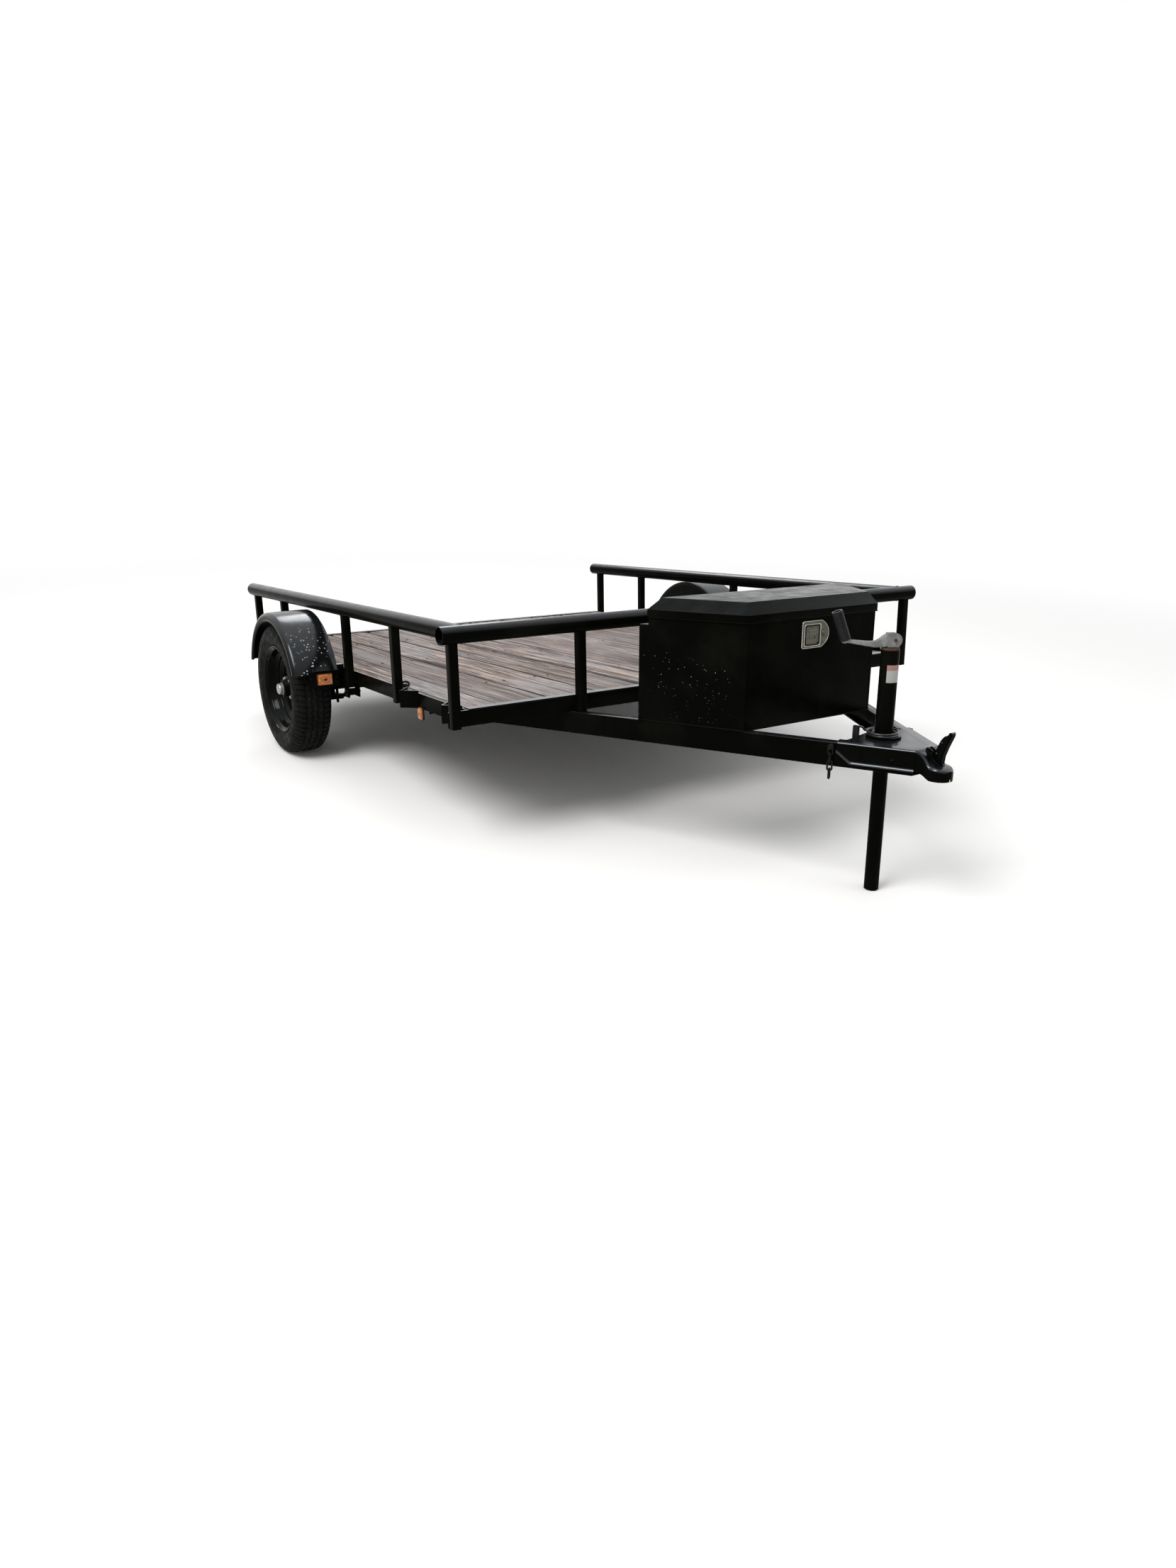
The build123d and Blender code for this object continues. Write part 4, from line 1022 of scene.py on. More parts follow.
# ---- coupler ------------------------------------------------------------------------------
TONGUE_TURN = radians(28.5)  # of the tongue's channels from the centre line
TONGUE_HALF = 623            # to a channel's outer face where Y is 0
PLATE_TOP = -50
SKIRT_LOW = -116             # foot of the coupler's arms
ARM_REAR = -840
ARM_FRONT = -1050
ARM_LENGTH = (ARM_REAR - ARM_FRONT) / cos(TONGUE_TURN)
ARM_STEPS = 26
BALL_Y = -1100
NOSE_RADIUS = 42
NECK_DROP = 44               # of the nose's top below the plate
NECK_STEPS = 40
JACK_Y = -878
JACK_HOLE = 29.5
COUPLER_BOLT = (172, -92)    # along an arm from its rear end, and its height
COLLAR_R = 32                # of the weld round the jack's tube
LATCH_HALF = 9
LATCH_CHEEK = 2.5
# (Y, Z) round the lever's side, and (Y, Z, radius) of its rivets
LATCH_FRONT = ((-1110, -88), (-1113, -62), (-1123, -34), (-1139, 4), (-1140, 13), (-1137, 16.5))
LATCH_BACK = ((-1131, 15), (-1127, 7), (-1114, 0), (-1104, -12), (-1096, -29), (-1091, -43),
              (-1078, -52), (-1068, -46), (-1060, -43), (-1053, -47), (-1052, -54), (-1064, -62),
              (-1078, -76), (-1092, -89))
LATCH_FOOT = ((-1052, -51), (-1066, -58), (-1080, -73), (-1092, -85), (-1109, -91), (-1109, -94),
              (-1091, -93), (-1077, -79), (-1063, -61), (-1052, -54))
LATCH_RIVETS = ((-1108, -22, 4.2), (-1091, -58, 4.8), (-1061, -48, 3.8), (-1075, -59, 2.6))


def tongue_edge(y):
    return -(TONGUE_HALF + tan(TONGUE_TURN) * y)


def beside_channel(y, side=-1):
    """A place on a channel's outer face: X runs forward along it, Y outward and Z up."""
    forward = Vector((sin(TONGUE_TURN) * -side, -cos(TONGUE_TURN), 0))
    outward = Vector((cos(TONGUE_TURN) * side, -sin(TONGUE_TURN), 0))
    turn = Matrix((forward, outward, (0, 0, 1))).transposed().to_4x4()
    return Matrix.Translation((-side * tongue_edge(y), y, 0)) @ turn


def coupler_arm():
    """One pressed arm: a skirt over the channel with a rounded top edge and a turned-out hem."""
    at, rows, top = beside_channel(ARM_REAR), [], PLATE_TOP
    for i in range(ARM_STEPS + 1):
        u = ARM_LENGTH * i / ARM_STEPS
        # the rear lower corner is cut off at a slant
        low = SKIRT_LOW + max(0, 34 * (1 - u / 44))
        section = [(-34, top), (-2, top)]
        section += [(-2 + 7 * sin(t), top - 7 + 7 * cos(t)) for t in arc(0, pi / 2, 6, 1)]
        section += [(5, top - 20), (5, low + 12), (6.2, low + 5), (9.5, low + 1.5), (12, low),
                    (12, low - 3), (7, low - 1), (2, low + 2), (0.5, low + 10), (0.3, top - 14),
                    (-3, top - 4.5), (-34, top - 4.5)]
        rows.append([at @ Vector((u, n, z)) for n, z in section])
    return Shape().loft(rows)


def coupler_neck():
    """The pressed neck and nose, open below round the ball socket."""
    y_rear, y_tip, rows = ARM_FRONT + 22, BALL_Y - NOSE_RADIUS + 0.1, []
    for i in range(NECK_STEPS + 1):
        y = y_rear + (y_tip - y_rear) * (1 - (1 - i / NECK_STEPS) ** 1.7)
        s = min(max((ARM_FRONT - y) / (ARM_FRONT - BALL_Y), 0), 1)
        s = s * s * (3 - 2 * s)
        ahead = max(BALL_Y - y, 0)
        nose_half = sqrt(max(NOSE_RADIUS ** 2 - ahead ** 2, 0.6))
        half = (1 - s) * min(58, 46 + (y - ARM_FRONT) * 0.54 + 8) + s * nose_half
        low = SKIRT_LOW - 20 * s
        top = PLATE_TOP - NECK_DROP * s - 9 * (ahead / NOSE_RADIUS) ** 2
        wall, bend = min(5, half * 0.5), min(12, half * 0.6)
        outer = [(-half, low)]
        outer += [(-half + bend * (1 - cos(t)), top - bend * (1 - sin(t))) for t in arc(0, pi / 2, 6)]
        outer += [(0, top + 1)]
        outer += [(-x, z) for x, z in reversed(outer[:-1])]
        inner, bend = [(half - wall, low)], bend * 0.6
        inner += [(half - wall - bend * (1 - cos(t)), top - wall - bend * (1 - sin(t)))
                  for t in arc(0, pi / 2, 4)]
        inner += [(-x, z) for x, z in reversed(inner)]
        rows.append([Vector((x, y, z)) for x, z in outer + inner])
    return Shape().loft(rows)


def coupler_plate():
    """The flat top plate between the arms, open round the jack's tube."""
    shape = Shape()
    for side in (-1, 1):
        rear, front = tongue_edge(ARM_REAR), tongue_edge(ARM_FRONT) + 2
        points = [(0, JACK_Y + 66), (-12, JACK_Y + 66), (rear + 52, ARM_REAR), (rear + 8, ARM_REAR),
                  (front, ARM_FRONT), (0, ARM_FRONT)]
        points += [(JACK_HOLE * -sin(t), JACK_Y - JACK_HOLE * cos(t)) for t in arc(0, pi, 24)]
        shape.prism([(x * -side, y) for x, y in points], PLATE_TOP - 4.4, PLATE_TOP - 0.3)
    return shape


def coupler_socket():
    profile = [(26.6, -135), (28, -136), (33, -136), (35, -133), (35, -104), (30, -101), (0, -101),
               (0, -107.6), (16, -107.8), (26.6, -108)]
    return Shape().turned(profile, Matrix.Translation((0, BALL_Y, 0)), 48)


def coupler_bolts():
    shape = Shape()
    along, height = COUPLER_BOLT
    for side in (-1, 1):
        at = beside_channel(ARM_REAR, side)
        outward = at.to_3x3() @ Vector((0, 1, 0))
        shape.hex_head(at @ Vector((along, 4.6, height)), outward, 12, 5, washer=False)
        shape.turned([(4.5, 4.6), (7.5, 4.6), (8, 5.4), (7.6, 6.2), (5, 6.2), (4.5, 5.6)],
                     toward(at @ Vector((along, 0, height)), outward), 24, ring=True)
        pip = toward(at @ Vector((132, 4.8, -82)), outward)
        shape.turned([(0, 0), (2.2, 0), (2.6, 0.6), (0, 1)], pip, 12)
    return shape


def coupler_welds():
    shape = Shape()
    for side in (-1, 1):
        at = beside_channel(ARM_REAR, side)
        for bead, radius, seed in (
                (((0, -30, PLATE_TOP - 3), (0, 4, PLATE_TOP - 3), (0, 4, PLATE_TOP - 22)), 2.6, 3),
                (((12, 4.5, SKIRT_LOW + 20), (44, 4.5, SKIRT_LOW - 1), (110, 4.5, SKIRT_LOW - 1)), 2.4, 9)):
            shape.weld([at @ Vector(p) for p in bead], radius, seed + side)
    collar = [(COLLAR_R * cos(t), JACK_Y + COLLAR_R * sin(t), PLATE_TOP + 9) for t in arc(0, 2 * pi, 40)]
    return shape.weld(collar, 3, 17)


def latch_lever():
    """A stamped lever: two cheeks joined by a web down their front, on a foot that follows the neck."""
    shape = Shape()
    for x in (-LATCH_HALF, LATCH_HALF - LATCH_CHEEK):
        shape.prism(LATCH_FRONT + LATCH_BACK, x, x + LATCH_CHEEK, SIDE_ON)
    web = LATCH_FRONT + tuple((y + 3, z - 0.8) for y, z in reversed(LATCH_FRONT))
    shape.prism(web, -LATCH_HALF, LATCH_HALF, SIDE_ON)
    return shape.prism(LATCH_FOOT, -14, 14, SIDE_ON)


def latch_rivets():
    shape = Shape()
    for y, z, r in LATCH_RIVETS:
        for side in (-1, 1):
            at = toward((side * LATCH_HALF, y, z), (side, 0, 0))
            shape.turned([(0, 2.6), (r * 0.6, 2.2), (r * 0.9, 1.1), (r, 0), (r, -1)], at, 16)
    return shape


def coupler_parts():
    piece("coupler_arm_near", coupler_arm(), WET_PAINT, smooth=40, replaces=["coupler"])
    piece("coupler_arm_far", coupler_arm(), WET_PAINT, place=TONGUE @ MIRROR, smooth=40)
    piece("coupler_neck", coupler_neck(), WET_PAINT, smooth=45)
    piece("coupler_top_plate", coupler_plate(), WET_PAINT)
    piece("ball_socket_cup", coupler_socket(), CHAIN_STEEL)
    piece("coupler_bolts", coupler_bolts(), BLACK, "zinc")
    piece("coupler_welds", coupler_welds(), BLACK, smooth=60)
    piece("latch_lever", latch_lever(), WET_PAINT, replaces=["coupler_latch"])
    piece("latch_rivets", latch_rivets(), WET_PAINT, "zinc")


# ---- jack ---------------------------------------------------------------------------------
JACK = Matrix.Translation((0, JACK_Y, 0))
JACK_TOP = 235
JACK_BOTTOM = -150
FLANGE_TOP = -42
JACK_R = 28.5
LEG_R = 23.7
FLANGE_R = 55
FLANGE_BOLT_R = 42           # from the jack's axis to its flange's bolts
FLANGE_BOLT_TURNS = arc(radians(90), radians(330), 2)
STICKER_HEIGHTS = (128, 183)
STICKER_TURNS = (radians(-151), radians(-33))
CRANK = JACK @ Matrix.Rotation(radians(-30), 4, "Z")
# along the arm: distance from the jack's axis, its under edge, its top edge and half its width
ARM_SECTIONS = ((-152, 254.5, 257.5, 5), (-149, 252.5, 259, 9), (-142, 252, 260.5, 11), (-126, 249, 260, 11),
                (-102, 244.5, 258, 10.5), (-78, 240, 255.5, 10.5), (-62, 237.6, 254.8, 11),
                (-48, 236.4, 256.5, 12), (-36, 236.2, 263, 13.5), (-26, 236.2, 271, 14.5),
                (-16, 236.2, 276.5, 15), (-6, 236.2, 279, 15))
FORK_MIDDLE = (9, 258)
FORK_RADIUS = 21.5
FORK_FOOT = 236.2
EAR_OUT = 15                 # half the fork's width
EAR_THICK = 8.5
GRIP = CRANK @ Matrix.Translation((-142, 0, 253.5)) @ Matrix.Rotation(radians(-20), 4, "Y")
GRIP_RIBS = 14


def jack_tube():
    top, foot, r = JACK_TOP - 7, JACK_BOTTOM, JACK_R
    profile = [(24.2, foot + 1), (25, foot), (r - 0.9, foot), (r, foot + 1),
               (r, top - 1), (r - 0.1, top), (0, top), (0, top - 2), (24, top - 2)]
    return Shape().turned(profile, JACK, 64)


def jack_cap():
    """The pressed cap and the bare ring where the paint has gone."""
    top, r = JACK_TOP, JACK_R
    profile = [(r - 0.2, top - 7.5), (r, top - 6.5), (r, top - 2), (r - 0.9, top - 0.6),
               (25, top), (18, top), (0, top)]
    return Shape().turned(profile, JACK, 64)


def jack_flange():
    bore, r, low, high = JACK_R + 0.5, FLANGE_R, PLATE_TOP, FLANGE_TOP
    profile = [(bore, low), (r - 1, low), (r, low + 1), (r, high - 1.2), (r - 1.2, high), (bore, high)]
    return Shape().turned(profile, JACK, 64, ring=True)


def jack_bolts():
    shape = Shape()
    for turn in FLANGE_BOLT_TURNS:
        at = Vector((FLANGE_BOLT_R * cos(turn), JACK_Y + FLANGE_BOLT_R * sin(turn), FLANGE_TOP - 0.5))
        shape.hex_head(at, (0, 0, 1), 13, 7)
    return shape


def jack_sticker():
    """A blank sticker wrapped part of the way round the tube."""
    low, high = STICKER_HEIGHTS
    edge, face = JACK_R + 0.02, JACK_R + 0.25
    shape = Shape()
    shape.grid([[Vector((r * cos(t), JACK_Y + r * sin(t), z))
                 for r, z in ((edge, low), (face, low + 1), (face, high - 1), (edge, high))]
                for t in arc(*STICKER_TURNS, 24)])
    return shape


def jack_leg():
    low, high = room("jack_leg", TONGUE)
    return Shape().turned([(0, low.z), (LEG_R - 1.2, low.z), (LEG_R, low.z + 1.2), (LEG_R, high.z - 1),
                           (LEG_R - 1, high.z), (0, high.z)], JACK, 56)


def crank_arm():
    """A cast arm: thin under the grip, deeper towards the jack, then up to its fork."""
    rows = []
    for x, low, high, half in ARM_SECTIONS:
        ring = []
        for turn in circle(20):
            a, b = cos(turn), sin(turn)
            side = half * abs(a) ** 0.35 * (1 if a > 0 else -1)
            rise = (high - low) / 2 * abs(b) ** 0.45 * (1 if b > 0 else -1)
            ring.append(CRANK @ Vector((x, side, (low + high) / 2 + rise)))
        rows.append(ring)
    return Shape().loft(rows)


def crank_clevis():
    """The fork's two ears on its foot, and the screw's lug between them."""
    shape = Shape()
    x0, z0 = FORK_MIDDLE
    at = CRANK @ Matrix(((1, 0, 0, 0), (0, 0, 1, 0), (0, 1, 0, 0), (0, 0, 0, 1)))
    outline = [(-14, FORK_FOOT), (x0 + 12, FORK_FOOT)]
    outline += [(x0 + FORK_RADIUS * cos(t), z0 + FORK_RADIUS * sin(t))
                for t in arc(radians(-42), radians(90), 16)]
    outline += [(-14, z0 + FORK_RADIUS)]
    for y in (-EAR_OUT, EAR_OUT - EAR_THICK):
        shape.prism(outline, y, y + EAR_THICK, at)
    shape.turned([(0, 235.6), (15, 235.6), (16, 236.5), (16, 239.5), (15, 240.5), (0, 240.5)], CRANK, 40)
    lug = [(-6, 238), (18, 238), (18, 262), (12, 268), (0, 268), (-6, 262)]
    return shape.prism(lug, -5.6, 5.6, at)


def crank_bolt():
    shape = Shape()
    across = CRANK.to_3x3() @ Vector((0, -1, 0))
    middle = CRANK @ Vector((FORK_MIDDLE[0], 0, FORK_MIDDLE[1]))
    shape.hex_head(middle + across * EAR_OUT, across, 10, 4, roll=0.5, washer=False)
    shape.rod(2 * EAR_OUT, 7, toward(middle - across * EAR_OUT, across), 20)
    return shape.hex_head(middle - across * EAR_OUT, -across, 10, 4, roll=0.2)


def crank_grip():
    """A hollow ribbed grip, open at its far end."""
    profile = [(8.2, 5.2), (15, 5), (16.5, 6.2)]     # (radius, height)
    for k in range(GRIP_RIBS):
        z = 9 + 6 * k
        profile += [(16.6, z), (17, z + 0.8), (17, z + 3.4), (16.6, z + 4.2), (16, z + 4.8), (16, z + 5.4)]
    profile += [(16.8, 94), (17, 95.5), (17, 98.4), (16.2, 99.8),
                (13.6, 100), (12.6, 99.2), (12.4, 70), (8.2, 69)]
    return Shape().turned(profile, GRIP, 44, ring=True)


def grip_rim():
    """A lighter grey ring over the grip's rolled end."""
    profile = [(13.2, 97.9), (15.6, 97.9), (16.4, 99.5), (15.4, 100.2), (13.4, 100), (12.6, 98.9)]
    return Shape().turned(profile, GRIP, 40, ring=True)


def crank_stem():
    shape = Shape().rod(68, 15.6, GRIP @ Matrix.Translation((0, 0, -3)), 28)
    return shape.turned([(0, 1), (12.5, 1), (13, 2), (13, 4), (12.5, 4.8), (0, 4.8)], GRIP, 32)


def jack():
    piece("jack_outer_tube", jack_tube(), BLACK, smooth=40, replaces=["jack_tube"])
    piece("jack_cap", jack_cap(), RUST)
    piece("jack_flange", jack_flange(), BLACK)
    piece("jack_flange_bolts", jack_bolts(), ZINC, "zinc")
    piece("jack_sticker", jack_sticker(), STICKER, "grey_paint")
    piece("jack_inner_leg", jack_leg(), FRAME_PAINT, body="jack_foot", replaces=["jack_leg"])
    piece("crank_arm", crank_arm(), CRANK_GREY, "grey_paint", "crank", smooth=50, replaces=["jack_crank"])
    piece("crank_clevis", crank_clevis(), CRANK_GREY, "grey_paint", "crank", bevel=1.0)
    piece("crank_bolt", crank_bolt(), RUST, "zinc", "crank")
    piece("crank_handle", crank_grip(), PLASTIC, "black_plastic", "crank", replaces=["jack_grip"])
    piece("grip_rim", grip_rim(), CRANK_GREY, "grey_paint", "crank")
    piece("crank_stem", crank_stem(), CRANK_GREY, "zinc", "crank")


# ---- toolbox ------------------------------------------------------------------------------
BOX_REAR = -236
BOX_FRONT = -570
BOX_MIDDLE = -22
BOX_REAR_HALF = 473          # half its width at the rear, and at the front
BOX_FRONT_HALF = 291.5
BOX_BOTTOM = -55
BOX_TOP = 305
BOX_LEDGE = 272              # top of the fixed strip behind the lid
LID_REAR = -265
LID_LOW = 295
LID_OUT = 5                  # of the lid's skirt from the box
HEM_R = 2.1
HINGE_LENGTH = 720
HINGE_PITCH = 24             # of its knuckles
HINGE_RIVETS = 9
RIVET_PITCH = 80
PADDLE_MIDDLE = (-31, 239.5)
PADDLE_HALF = 46
PADDLE_NOSE = 78             # from the plate's middle to the tip of its round side
PADDLE_CORNER = 9
# (X, Y, radius) of the rivets round the paddle
PADDLE_RIVETS = ((-38, 37, 3.6), (-40, -38, 3.6), (54, 30, 4.2), (50, -27, 4.2), (36, 40, 2.6))


def box_side(y, side, out=0.0):
    """X of the box's near or far side."""
    t = (y - BOX_REAR) / (BOX_FRONT - BOX_REAR)
    return BOX_MIDDLE + side * (BOX_REAR_HALF + (BOX_FRONT_HALF - BOX_REAR_HALF) * t + out)


def box_trim():
    """Turned hems round the foot of the box, and its seams at the front corners."""
    shape = Shape()
    low = BOX_BOTTOM + 2.2
    for side in (-1, 1):
        shape.sweep([(box_side(y, side, 0.4), y, low) for y in (BOX_REAR, BOX_FRONT)], HEM_R, 8)
        seam = box_side(BOX_FRONT, side, -9)
        shape.box(seam - 0.6, seam + 0.6, BOX_FRONT - 0.5, BOX_FRONT + 1, BOX_BOTTOM + 3, BOX_TOP - 22)
    return shape.sweep([(box_side(BOX_FRONT, side), BOX_FRONT - 0.4, low) for side in (-1, 1)], HEM_R, 8)


def box_hinge():
    """A piano hinge on the rear wall, under the lid's edge."""
    shape = Shape()
    left = BOX_MIDDLE - HINGE_LENGTH / 2
    for k in range(HINGE_LENGTH // HINGE_PITCH):
        at = toward((left + k * HINGE_PITCH + 0.6, LID_REAR + 3.6, BOX_TOP - 4), (1, 0, 0))
        shape.rod(HINGE_PITCH - 1.2, 7.6, at, 16, 0.5)
    shape.box(left, left + HINGE_LENGTH, LID_REAR, LID_REAR + 1.4, BOX_LEDGE + 6, BOX_TOP - 6)
    for k in range(HINGE_RIVETS):
        at = toward((left + RIVET_PITCH * (k + 0.5), LID_REAR + 1.2, BOX_LEDGE + 14), (0, 1, 0))
        shape.turned([(0, 1.8), (1.6, 1.6), (3, 0.6), (3, 0)], at, 14)
    return shape


def lid_hem():
    """A folded hem along the foot of the lid's skirt."""
    front, rear = BOX_FRONT - LID_OUT + 0.3, LID_REAR - 3
    points = [(box_side(rear, -1, LID_OUT), rear), (box_side(BOX_FRONT, -1, LID_OUT - 1), front),
              (box_side(BOX_FRONT, 1, LID_OUT - 1), front), (box_side(rear, 1, LID_OUT), rear)]
    return Shape().sweep([(x, y, LID_LOW + 1.8) for x, y in points], 1.7, 8)


def paddle_place(x=0.0, y=0.0, z=0.0):
    """The latch's own frame on the box's front: X to the far side, Y up and Z forward."""
    cx, cz = PADDLE_MIDDLE
    return Matrix(((1, 0, 0, cx + x), (0, 0, -1, BOX_FRONT - z), (0, 1, 0, cz + y), (0, 0, 0, 1)))


def on_paddle(shape, rings, **how):
    """Faces between rings of (outline, height) in the latch's frame."""
    at = paddle_place()
    rows = [[at @ Vector((x, y, z)) for x, y in outline] for outline, z in rings]
    return shape.grid(rows, closed_columns=True, **how)


def paddle_plate(inset):
    """A square plate whose far side is drawn out to a round nose."""
    half, tip = PADDLE_HALF - inset, PADDLE_NOSE - inset
    corner = PADDLE_CORNER - inset * 0.5
    left = PADDLE_HALF - 4
    low, high = [[(corner - half + corner * cos(t), y + corner * sin(t))
                  for t in arc(start, start + pi / 2, 6)]
                 for y, start in ((corner - half, pi), (half - corner, pi / 2))]
    nose = [(left + (tip - left) * cos(t), half * sin(t) * (1 - 0.14 * sin(2 * abs(t))))
            for t in arc(-pi / 2, pi / 2, 16)]
    return low + nose + high


def paddle_well(inset, corner):
    return rounded(-35 + inset, 34 - inset, -36 + inset, 32 - inset, corner)


def latch_tray():
    """The latch's flange, the raised rim of its recess and the recess itself."""
    shape = Shape()
    made = on_paddle(shape, [(paddle_plate(inset), z) for inset, z in (
        (0, 0), (0, 1.4), (1.2, 2.4), (3.4, 2.6))])
    shape.bm.faces.new(made[-1])
    on_paddle(shape, [(paddle_well(inset, corner), z) for inset, z, corner in (
        (-4.5, 1.8, 8), (-3.8, 4.0, 7.5), (-2.2, 4.8, 7), (0, 4.2, 5), (0.8, 2.4, 4), (1, 0.4, 4))])
    return shape


def latch_rim_highlights():
    """The edges of the plate and of its recess, in a lighter copy of the stainless: a painted highlight."""
    shape = Shape()
    on_paddle(shape, [(paddle_plate(inset), z) for inset, z in (
        (0.3, 1.9), (0.8, 2.8), (2.4, 2.9), (3, 2))], closed_rows=True)
    on_paddle(shape, [(paddle_well(inset, 7), z) for inset, z in (
        (-3.4, 4.2), (-2.8, 5.1), (-1.2, 5.1), (-0.4, 4.0))], closed_rows=True)
    return shape


def latch_recess_shade():
    """A dark sheet in the recess round the paddle: painted shade."""
    return Shape().prism(rounded(-34.5, 33.5, -35.5, 31.5, 4), 2.5, 2.9, paddle_place())


def latch_paddle():
    """A pressed paddle with a raised rim and a rolled finger lip along its lower edge."""
    at, shape = paddle_place(), Shape()
    made = on_paddle(shape, [
        (rounded(-29 + inset, 27 - inset, -27 + inset, 27 - inset, max(5 - inset * 0.3, 1)), z)
        for inset, z in ((0, 2.8), (0, 4.2), (0.8, 5), (3, 5), (4.4, 3.7), (12, 3.6), (14, 4.6), (15, 4.8))])
    shape.bm.faces.new(made[-1])
    shape.prism(rounded(-31, 14, -31, -13, 4), 3.2, 6.2, at)
    return shape.prism(rounded(10, 17, -31, -4, 3), 3.2, 6.6, at)


def latch_lock():
    shape = Shape()
    profile = [(0, 7.4), (3.6, 7.5), (4, 8), (6.4, 8), (8.8, 6.9), (10.4, 4.8), (11, 2)]
    shape.turned(profile, paddle_place(54, 2), 32)
    for x, y, r in PADDLE_RIVETS:
        head = [(0, 1.9), (r * 0.5, 1.8), (r * 0.85, 1.1), (r, 0), (r, -1)]
        shape.turned(head, paddle_place(x, y, 2.4), 16)
    return shape


def toolbox():
    from_cad("toolbox", BOX_PAINT, 1.8)
    piece("toolbox_hems", box_trim(), BOX_PAINT)
    piece("toolbox_hinge", box_hinge(), BLACK)
    from_cad("toolbox_lid", BOX_PAINT, 1.8, "lid")
    piece("lid_hem", lid_hem(), BOX_PAINT, body="lid")
    piece("latch_tray", latch_tray(), STAINLESS, "stainless", smooth=30, replaces=["toolbox_latch"])
    # the latch's edges in the lighter stainless: painted highlight
    piece("latch_rim_highlights", latch_rim_highlights(), STAINLESS_HIGHLIGHT, "stainless", smooth=50)
    # a dark sheet in the latch's recess: painted shade
    piece("latch_recess_shade", latch_recess_shade(), PLASTIC, "stainless")
    piece("latch_paddle", latch_paddle(), STAINLESS, "stainless", smooth=30)
    piece("latch_lock", latch_lock(), STAINLESS, "stainless")


# ---- wiring and chains --------------------------------------------------------------------
COIL_MIDDLE = (-0.006, -0.878)   # metres, in the tongue's frame, as the cable's points are
GLAND_TURN = radians(60)         # round the coil's middle
# (degrees round the coil's middle, radius, height): the loose turns' ends and changes
COIL_TURNS = ((60, 0.058, -0.036), (75, 0.053, -0.038), (90, 0.048, -0.039), (120, 0.045, -0.039),
              (240, 0.051, -0.039), (330, 0.047, -0.039), (390, 0.045, -0.037), (420, 0.045, -0.0345),
              (450, 0.0445, -0.032), (560, 0.0535, -0.031), (680, 0.048, -0.031), (780, 0.052, -0.031),
              (810, 0.0535, -0.032), (840, 0.054, -0.0335))
COIL_STEP = 15
LEAD_ROUTE = ((-0.040, -0.836, -0.034), (-0.054, -0.839, -0.020), (-0.072, -0.843, -0.0135),
              (-0.090, -0.848, -0.0135))
CABLE_OD = 0.006
PLUG = Matrix.Translation((-90, -848, 0)) @ Matrix.Rotation(radians(195.5), 4, "Z")
CHAIN_WIRE = 6
CHAIN_LINKS = 4
CHAIN_PITCH = 26
CHAIN_OUT = 11.5             # of the chain's middle from the channel's face
CHAIN_FIRST = -74.75         # middle of the first link
CHAIN_PIN = -66
CHAIN_BEHIND = 16            # the coupler's arm
LINK_HALF, LINK_STRAIGHT = 7.5, 8.75


def coil_points():
    """The turns round the jack's foot, from one change of radius and height to the next."""
    points = []
    for (a, r0, z0), (b, r1, z1) in zip(COIL_TURNS, COIL_TURNS[1:]):
        for turn in range(a, b, COIL_STEP):
            t = (turn - a) / (b - a)
            r = r0 + (r1 - r0) * t
            points.append((COIL_MIDDLE[0] + r * cos(radians(turn)), COIL_MIDDLE[1] + r * sin(radians(turn)),
                           z0 + (z1 - z0) * t))
    return points


def cable():
    place = TONGUE @ Matrix.Scale(1 / MM, 4)
    data = bpy.data.curves.new("wiring_cable", "CURVE")
    data.dimensions = "3D"
    data.bevel_depth = CABLE_OD / 2
    data.bevel_resolution = 5
    data.use_fill_caps = True
    spline = data.splines.new("NURBS")
    route = coil_points() + list(LEAD_ROUTE)
    spline.points.add(len(route) - 1)
    for point, at in zip(spline.points, route):
        point.co = (*(place @ Vector(at)), 1)
    spline.order_u = 3
    spline.use_endpoint_u = True
    spline.resolution_u = 6
    data.materials.append(CABLE)
    ob = added("wiring_cable", data)
    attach(ob, "chassis")
    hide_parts("wiring_coil", "wiring_lead")
    plug = piece("wiring_connector", connector(), PLASTIC, "black_plastic", bevel=0.7,
                 replaces=["wiring_plug"])


def connector():
    """A flat trailer connector on edge, with moulded ribs."""
    shape = Shape().prism(rounded(0.6, 11.4, -9.5, 9.5, 3), PLATE_TOP, -6.6, PLUG)
    for k in range(6):
        z = PLATE_TOP + 5 + 6.4 * k
        shape.prism(rounded(0, 12, -11, 11, 3.5), z, z + 3.2, PLUG)
    return shape.rod(9, 8.4, PLUG @ toward((-7, 0, -13.5), (1, 0, 0)), 20, 0.8)


def cable_gland():
    """The rubber boot through which the cable comes up out of the coupler's plate."""
    at = Matrix.Translation([v / MM for v in COIL_MIDDLE] + [0]) @ Matrix.Rotation(GLAND_TURN, 4, "Z")
    shape = Shape().prism(rounded(59, 71.5, -5.8, 5.8, 2.5), PLATE_TOP, -27, at)
    shape.prism(rounded(59.5, 70.5, -4.8, 4.8, 2.5), -27, -23, at)
    return shape.turned([(3.1, 0), (4.6, 0), (5.2, 1.2), (5.6, 4.5), (3.1, 4.5)],
                        at @ toward((58.2, 0, -36), (1, 0, 0)), 20, ring=True)


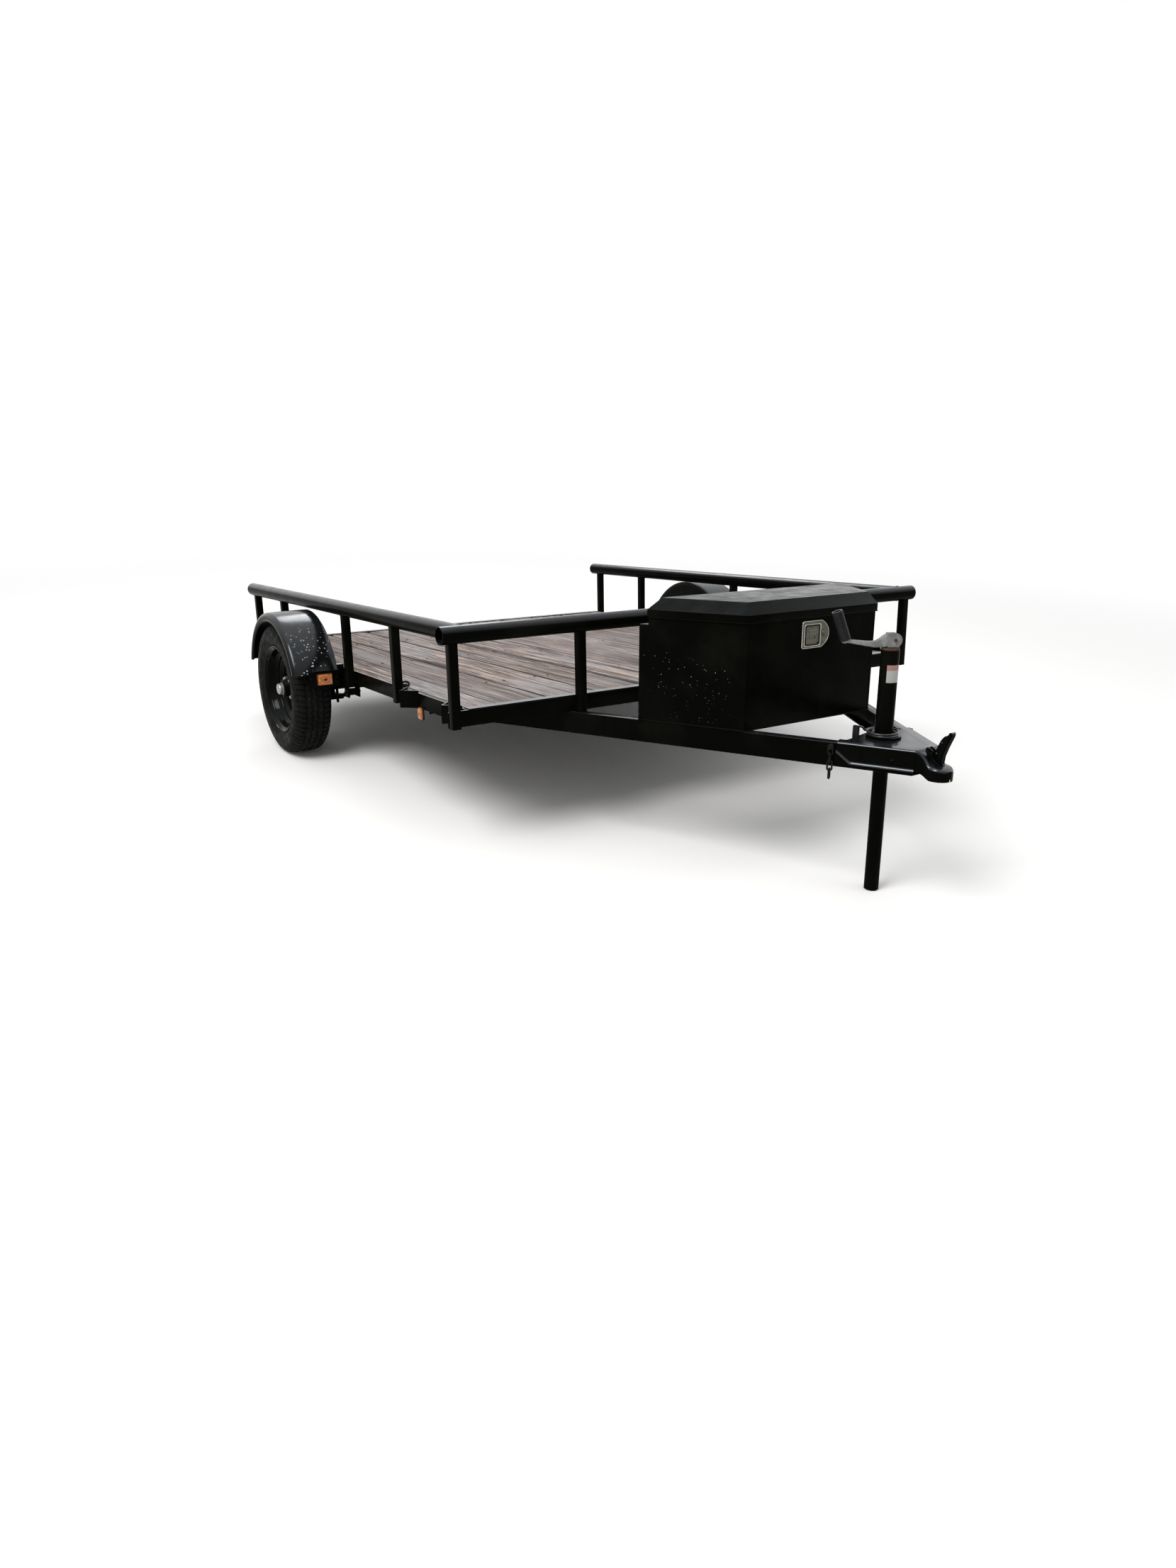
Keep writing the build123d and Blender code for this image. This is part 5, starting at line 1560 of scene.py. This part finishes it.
def safety_chains():
    """A pin in each channel behind the coupler, and the links that hang from it."""
    shape = Shape()
    for side in (-1, 1):
        at = beside_channel(ARM_REAR + CHAIN_BEHIND * cos(TONGUE_TURN), side)
        for number in range(CHAIN_LINKS):
            middle = CHAIN_FIRST - CHAIN_PITCH * number
            path = []
            for turn in [2 * pi * (k + 0.5) / 24 for k in range(24)]:
                wide, high = LINK_HALF * cos(turn), LINK_HALF * sin(turn)
                high += LINK_STRAIGHT if sin(turn) > 0 else -LINK_STRAIGHT
                across, out = (0, wide) if number % 2 else (wide, 0)
                path.append(at @ Vector((across, CHAIN_OUT + out, middle + high)))
            shape.sweep(path, CHAIN_WIRE / 2, 10, closed=True)
        pin = toward(at @ Vector((0, 0, CHAIN_PIN)), at.to_3x3() @ Vector((0, 1, 0)))
        shape.rod(16, 8, pin, 20)
        shape.turned([(0, 19), (6.5, 18.8), (8.6, 17.8), (9, 16.2), (8.6, 15.9), (0, 15.9)], pin, 24)
    return shape


def wiring():
    cable()
    piece("cable_gland", cable_gland(), RUBBER, "black_plastic", bevel=0.5)
    piece("safety_chain_links", safety_chains(), CHAIN_STEEL, "zinc", smooth=50, replaces=["safety_chains"])


# ---- assembly -----------------------------------------------------------------------------
wiring()
deck()
end_strips()
deck_screws()
rails()
posts()
both("rail_corner_welds", rail_corner_welds, BLACK, smooth=60)
frame_parts()
both("tie_ring", tie_ring, PLASTIC, "zinc")
fenders()
lamps()
wheels()
coupler_parts()
jack()
toolbox()

# ---- camera, light and floor --------------------------------------------------------------
CAMERA_AT = Vector((-2519.0, -3040.6, 671.4))
YAW, PITCH, ROLL = 0.5743, 0.2706, -0.0177
FOCAL = 1452.16              # pixels, in an image of this height
IMAGE_HEIGHT = 2212
SENSOR = 36
FLOOR_COLOUR = (0.88, 0.88, 0.875)
FLOOR_RADIUS = 40
FADE_FROM, FADE_TO = 3.2, 8  # metres from the trailer, where the floor runs into the white
SKY_LIGHT = 0.8


def camera():
    ahead = Vector((sin(YAW) * cos(PITCH), cos(YAW) * cos(PITCH), -sin(PITCH)))
    right = Vector((cos(YAW), -sin(YAW), 0))
    up = right.cross(ahead)
    rolled = right * cos(ROLL) + up * sin(ROLL), up * cos(ROLL) - right * sin(ROLL)
    turn = Matrix((*rolled, -ahead)).transposed()
    data = bpy.data.cameras.new("camera")
    data.sensor_fit = "VERTICAL"
    data.sensor_height = SENSOR
    data.sensor_width = SENSOR
    data.lens = SENSOR * FOCAL / IMAGE_HEIGHT
    data.clip_end = 200
    ob = added("camera", data)
    ob.location = BED @ CAMERA_AT
    ob.rotation_mode = "QUATERNION"
    ob.rotation_quaternion = (Matrix.Rotation(-NOSE_UP, 3, "X") @ turn).to_quaternion()
    bpy.context.scene.camera = ob


def area_light(name, at, target, size, power, colour=(1, 1, 1)):
    data = bpy.data.lights.new(name, "AREA")
    data.shape = "DISK"
    data.size = size
    data.energy = power
    data.color = colour
    ob = added(name, data)
    ob.location = at
    ob.rotation_mode = "QUATERNION"
    ob.rotation_quaternion = (Vector(target) - Vector(at)).to_track_quat("-Z", "Y")


def seen_ray(tree):
    """1 for the rays by which the camera, mirrors and glass see a thing."""
    path = tree.nodes.new("ShaderNodeLightPath")
    out = path.outputs["Is Camera Ray"]
    for kind in ("Is Glossy Ray", "Is Transmission Ray"):
        either = tree.nodes.new("ShaderNodeMath")
        either.operation = "MAXIMUM"
        tree.links.new(out, either.inputs[0])
        tree.links.new(path.outputs[kind], either.inputs[1])
        out = either.outputs[0]
    return out


def far_off(finish):
    """Fades a floor into white with the distance, as the sky is seen."""
    place = finish.node("TexCoord").outputs["Object"]
    length = finish.node("VectorMath", place, operation="LENGTH")
    share = finish.steps(length.outputs["Value"], FADE_FROM, FADE_TO)
    share = finish.math("MULTIPLY", share, seen_ray(finish.tree))
    white = finish.node("Emission").outputs[0]
    blend = finish.node("MixShader", share, finish.shader.outputs[0], white)
    out = next(n for n in finish.tree.nodes if n.type == "OUTPUT_MATERIAL")
    finish.put(out.inputs["Surface"], blend.outputs[0])


def floor():
    bm = bmesh.new()
    bmesh.ops.create_circle(bm, cap_ends=True, radius=FLOOR_RADIUS, segments=64)
    mesh = mesh_of(bm, "floor")
    ob = added("floor", mesh)
    pale = Finish("floor", FLOOR_COLOUR, 0.8, Specular_IOR_Level=0.1)
    far_off(pale)
    mesh.materials.append(pale.material)


def world():
    """An even grey sky that cameras, mirrors and glass see as white."""
    sky = bpy.data.worlds.new("sky")
    bpy.context.scene.world = sky
    sky.use_nodes = True
    tree = sky.node_tree
    light = tree.nodes["Background"]
    strength = tree.nodes.new("ShaderNodeMapRange")
    strength.inputs["To Min"].default_value = SKY_LIGHT
    strength.inputs["To Max"].default_value = 1.0
    tree.links.new(seen_ray(tree), strength.inputs["Value"])
    tree.links.new(strength.outputs[0], light.inputs["Strength"])
    light.inputs["Color"].default_value = (1, 1, 1, 1)


camera()
floor()
world()
area_light("key", (-4.2, -1.6, 5.2), (0, -0.2, 0.3), 3.4, 300, (1, 0.985, 0.96))
area_light("fill", (3.5, -4.5, 4.0), (0, 0, 0.4), 4.0, 30)
area_light("rear", (1.5, 5.0, 4.5), (0, 0.5, 0.5), 3.0, 110)

bpy.context.scene.view_settings.view_transform = "Standard"
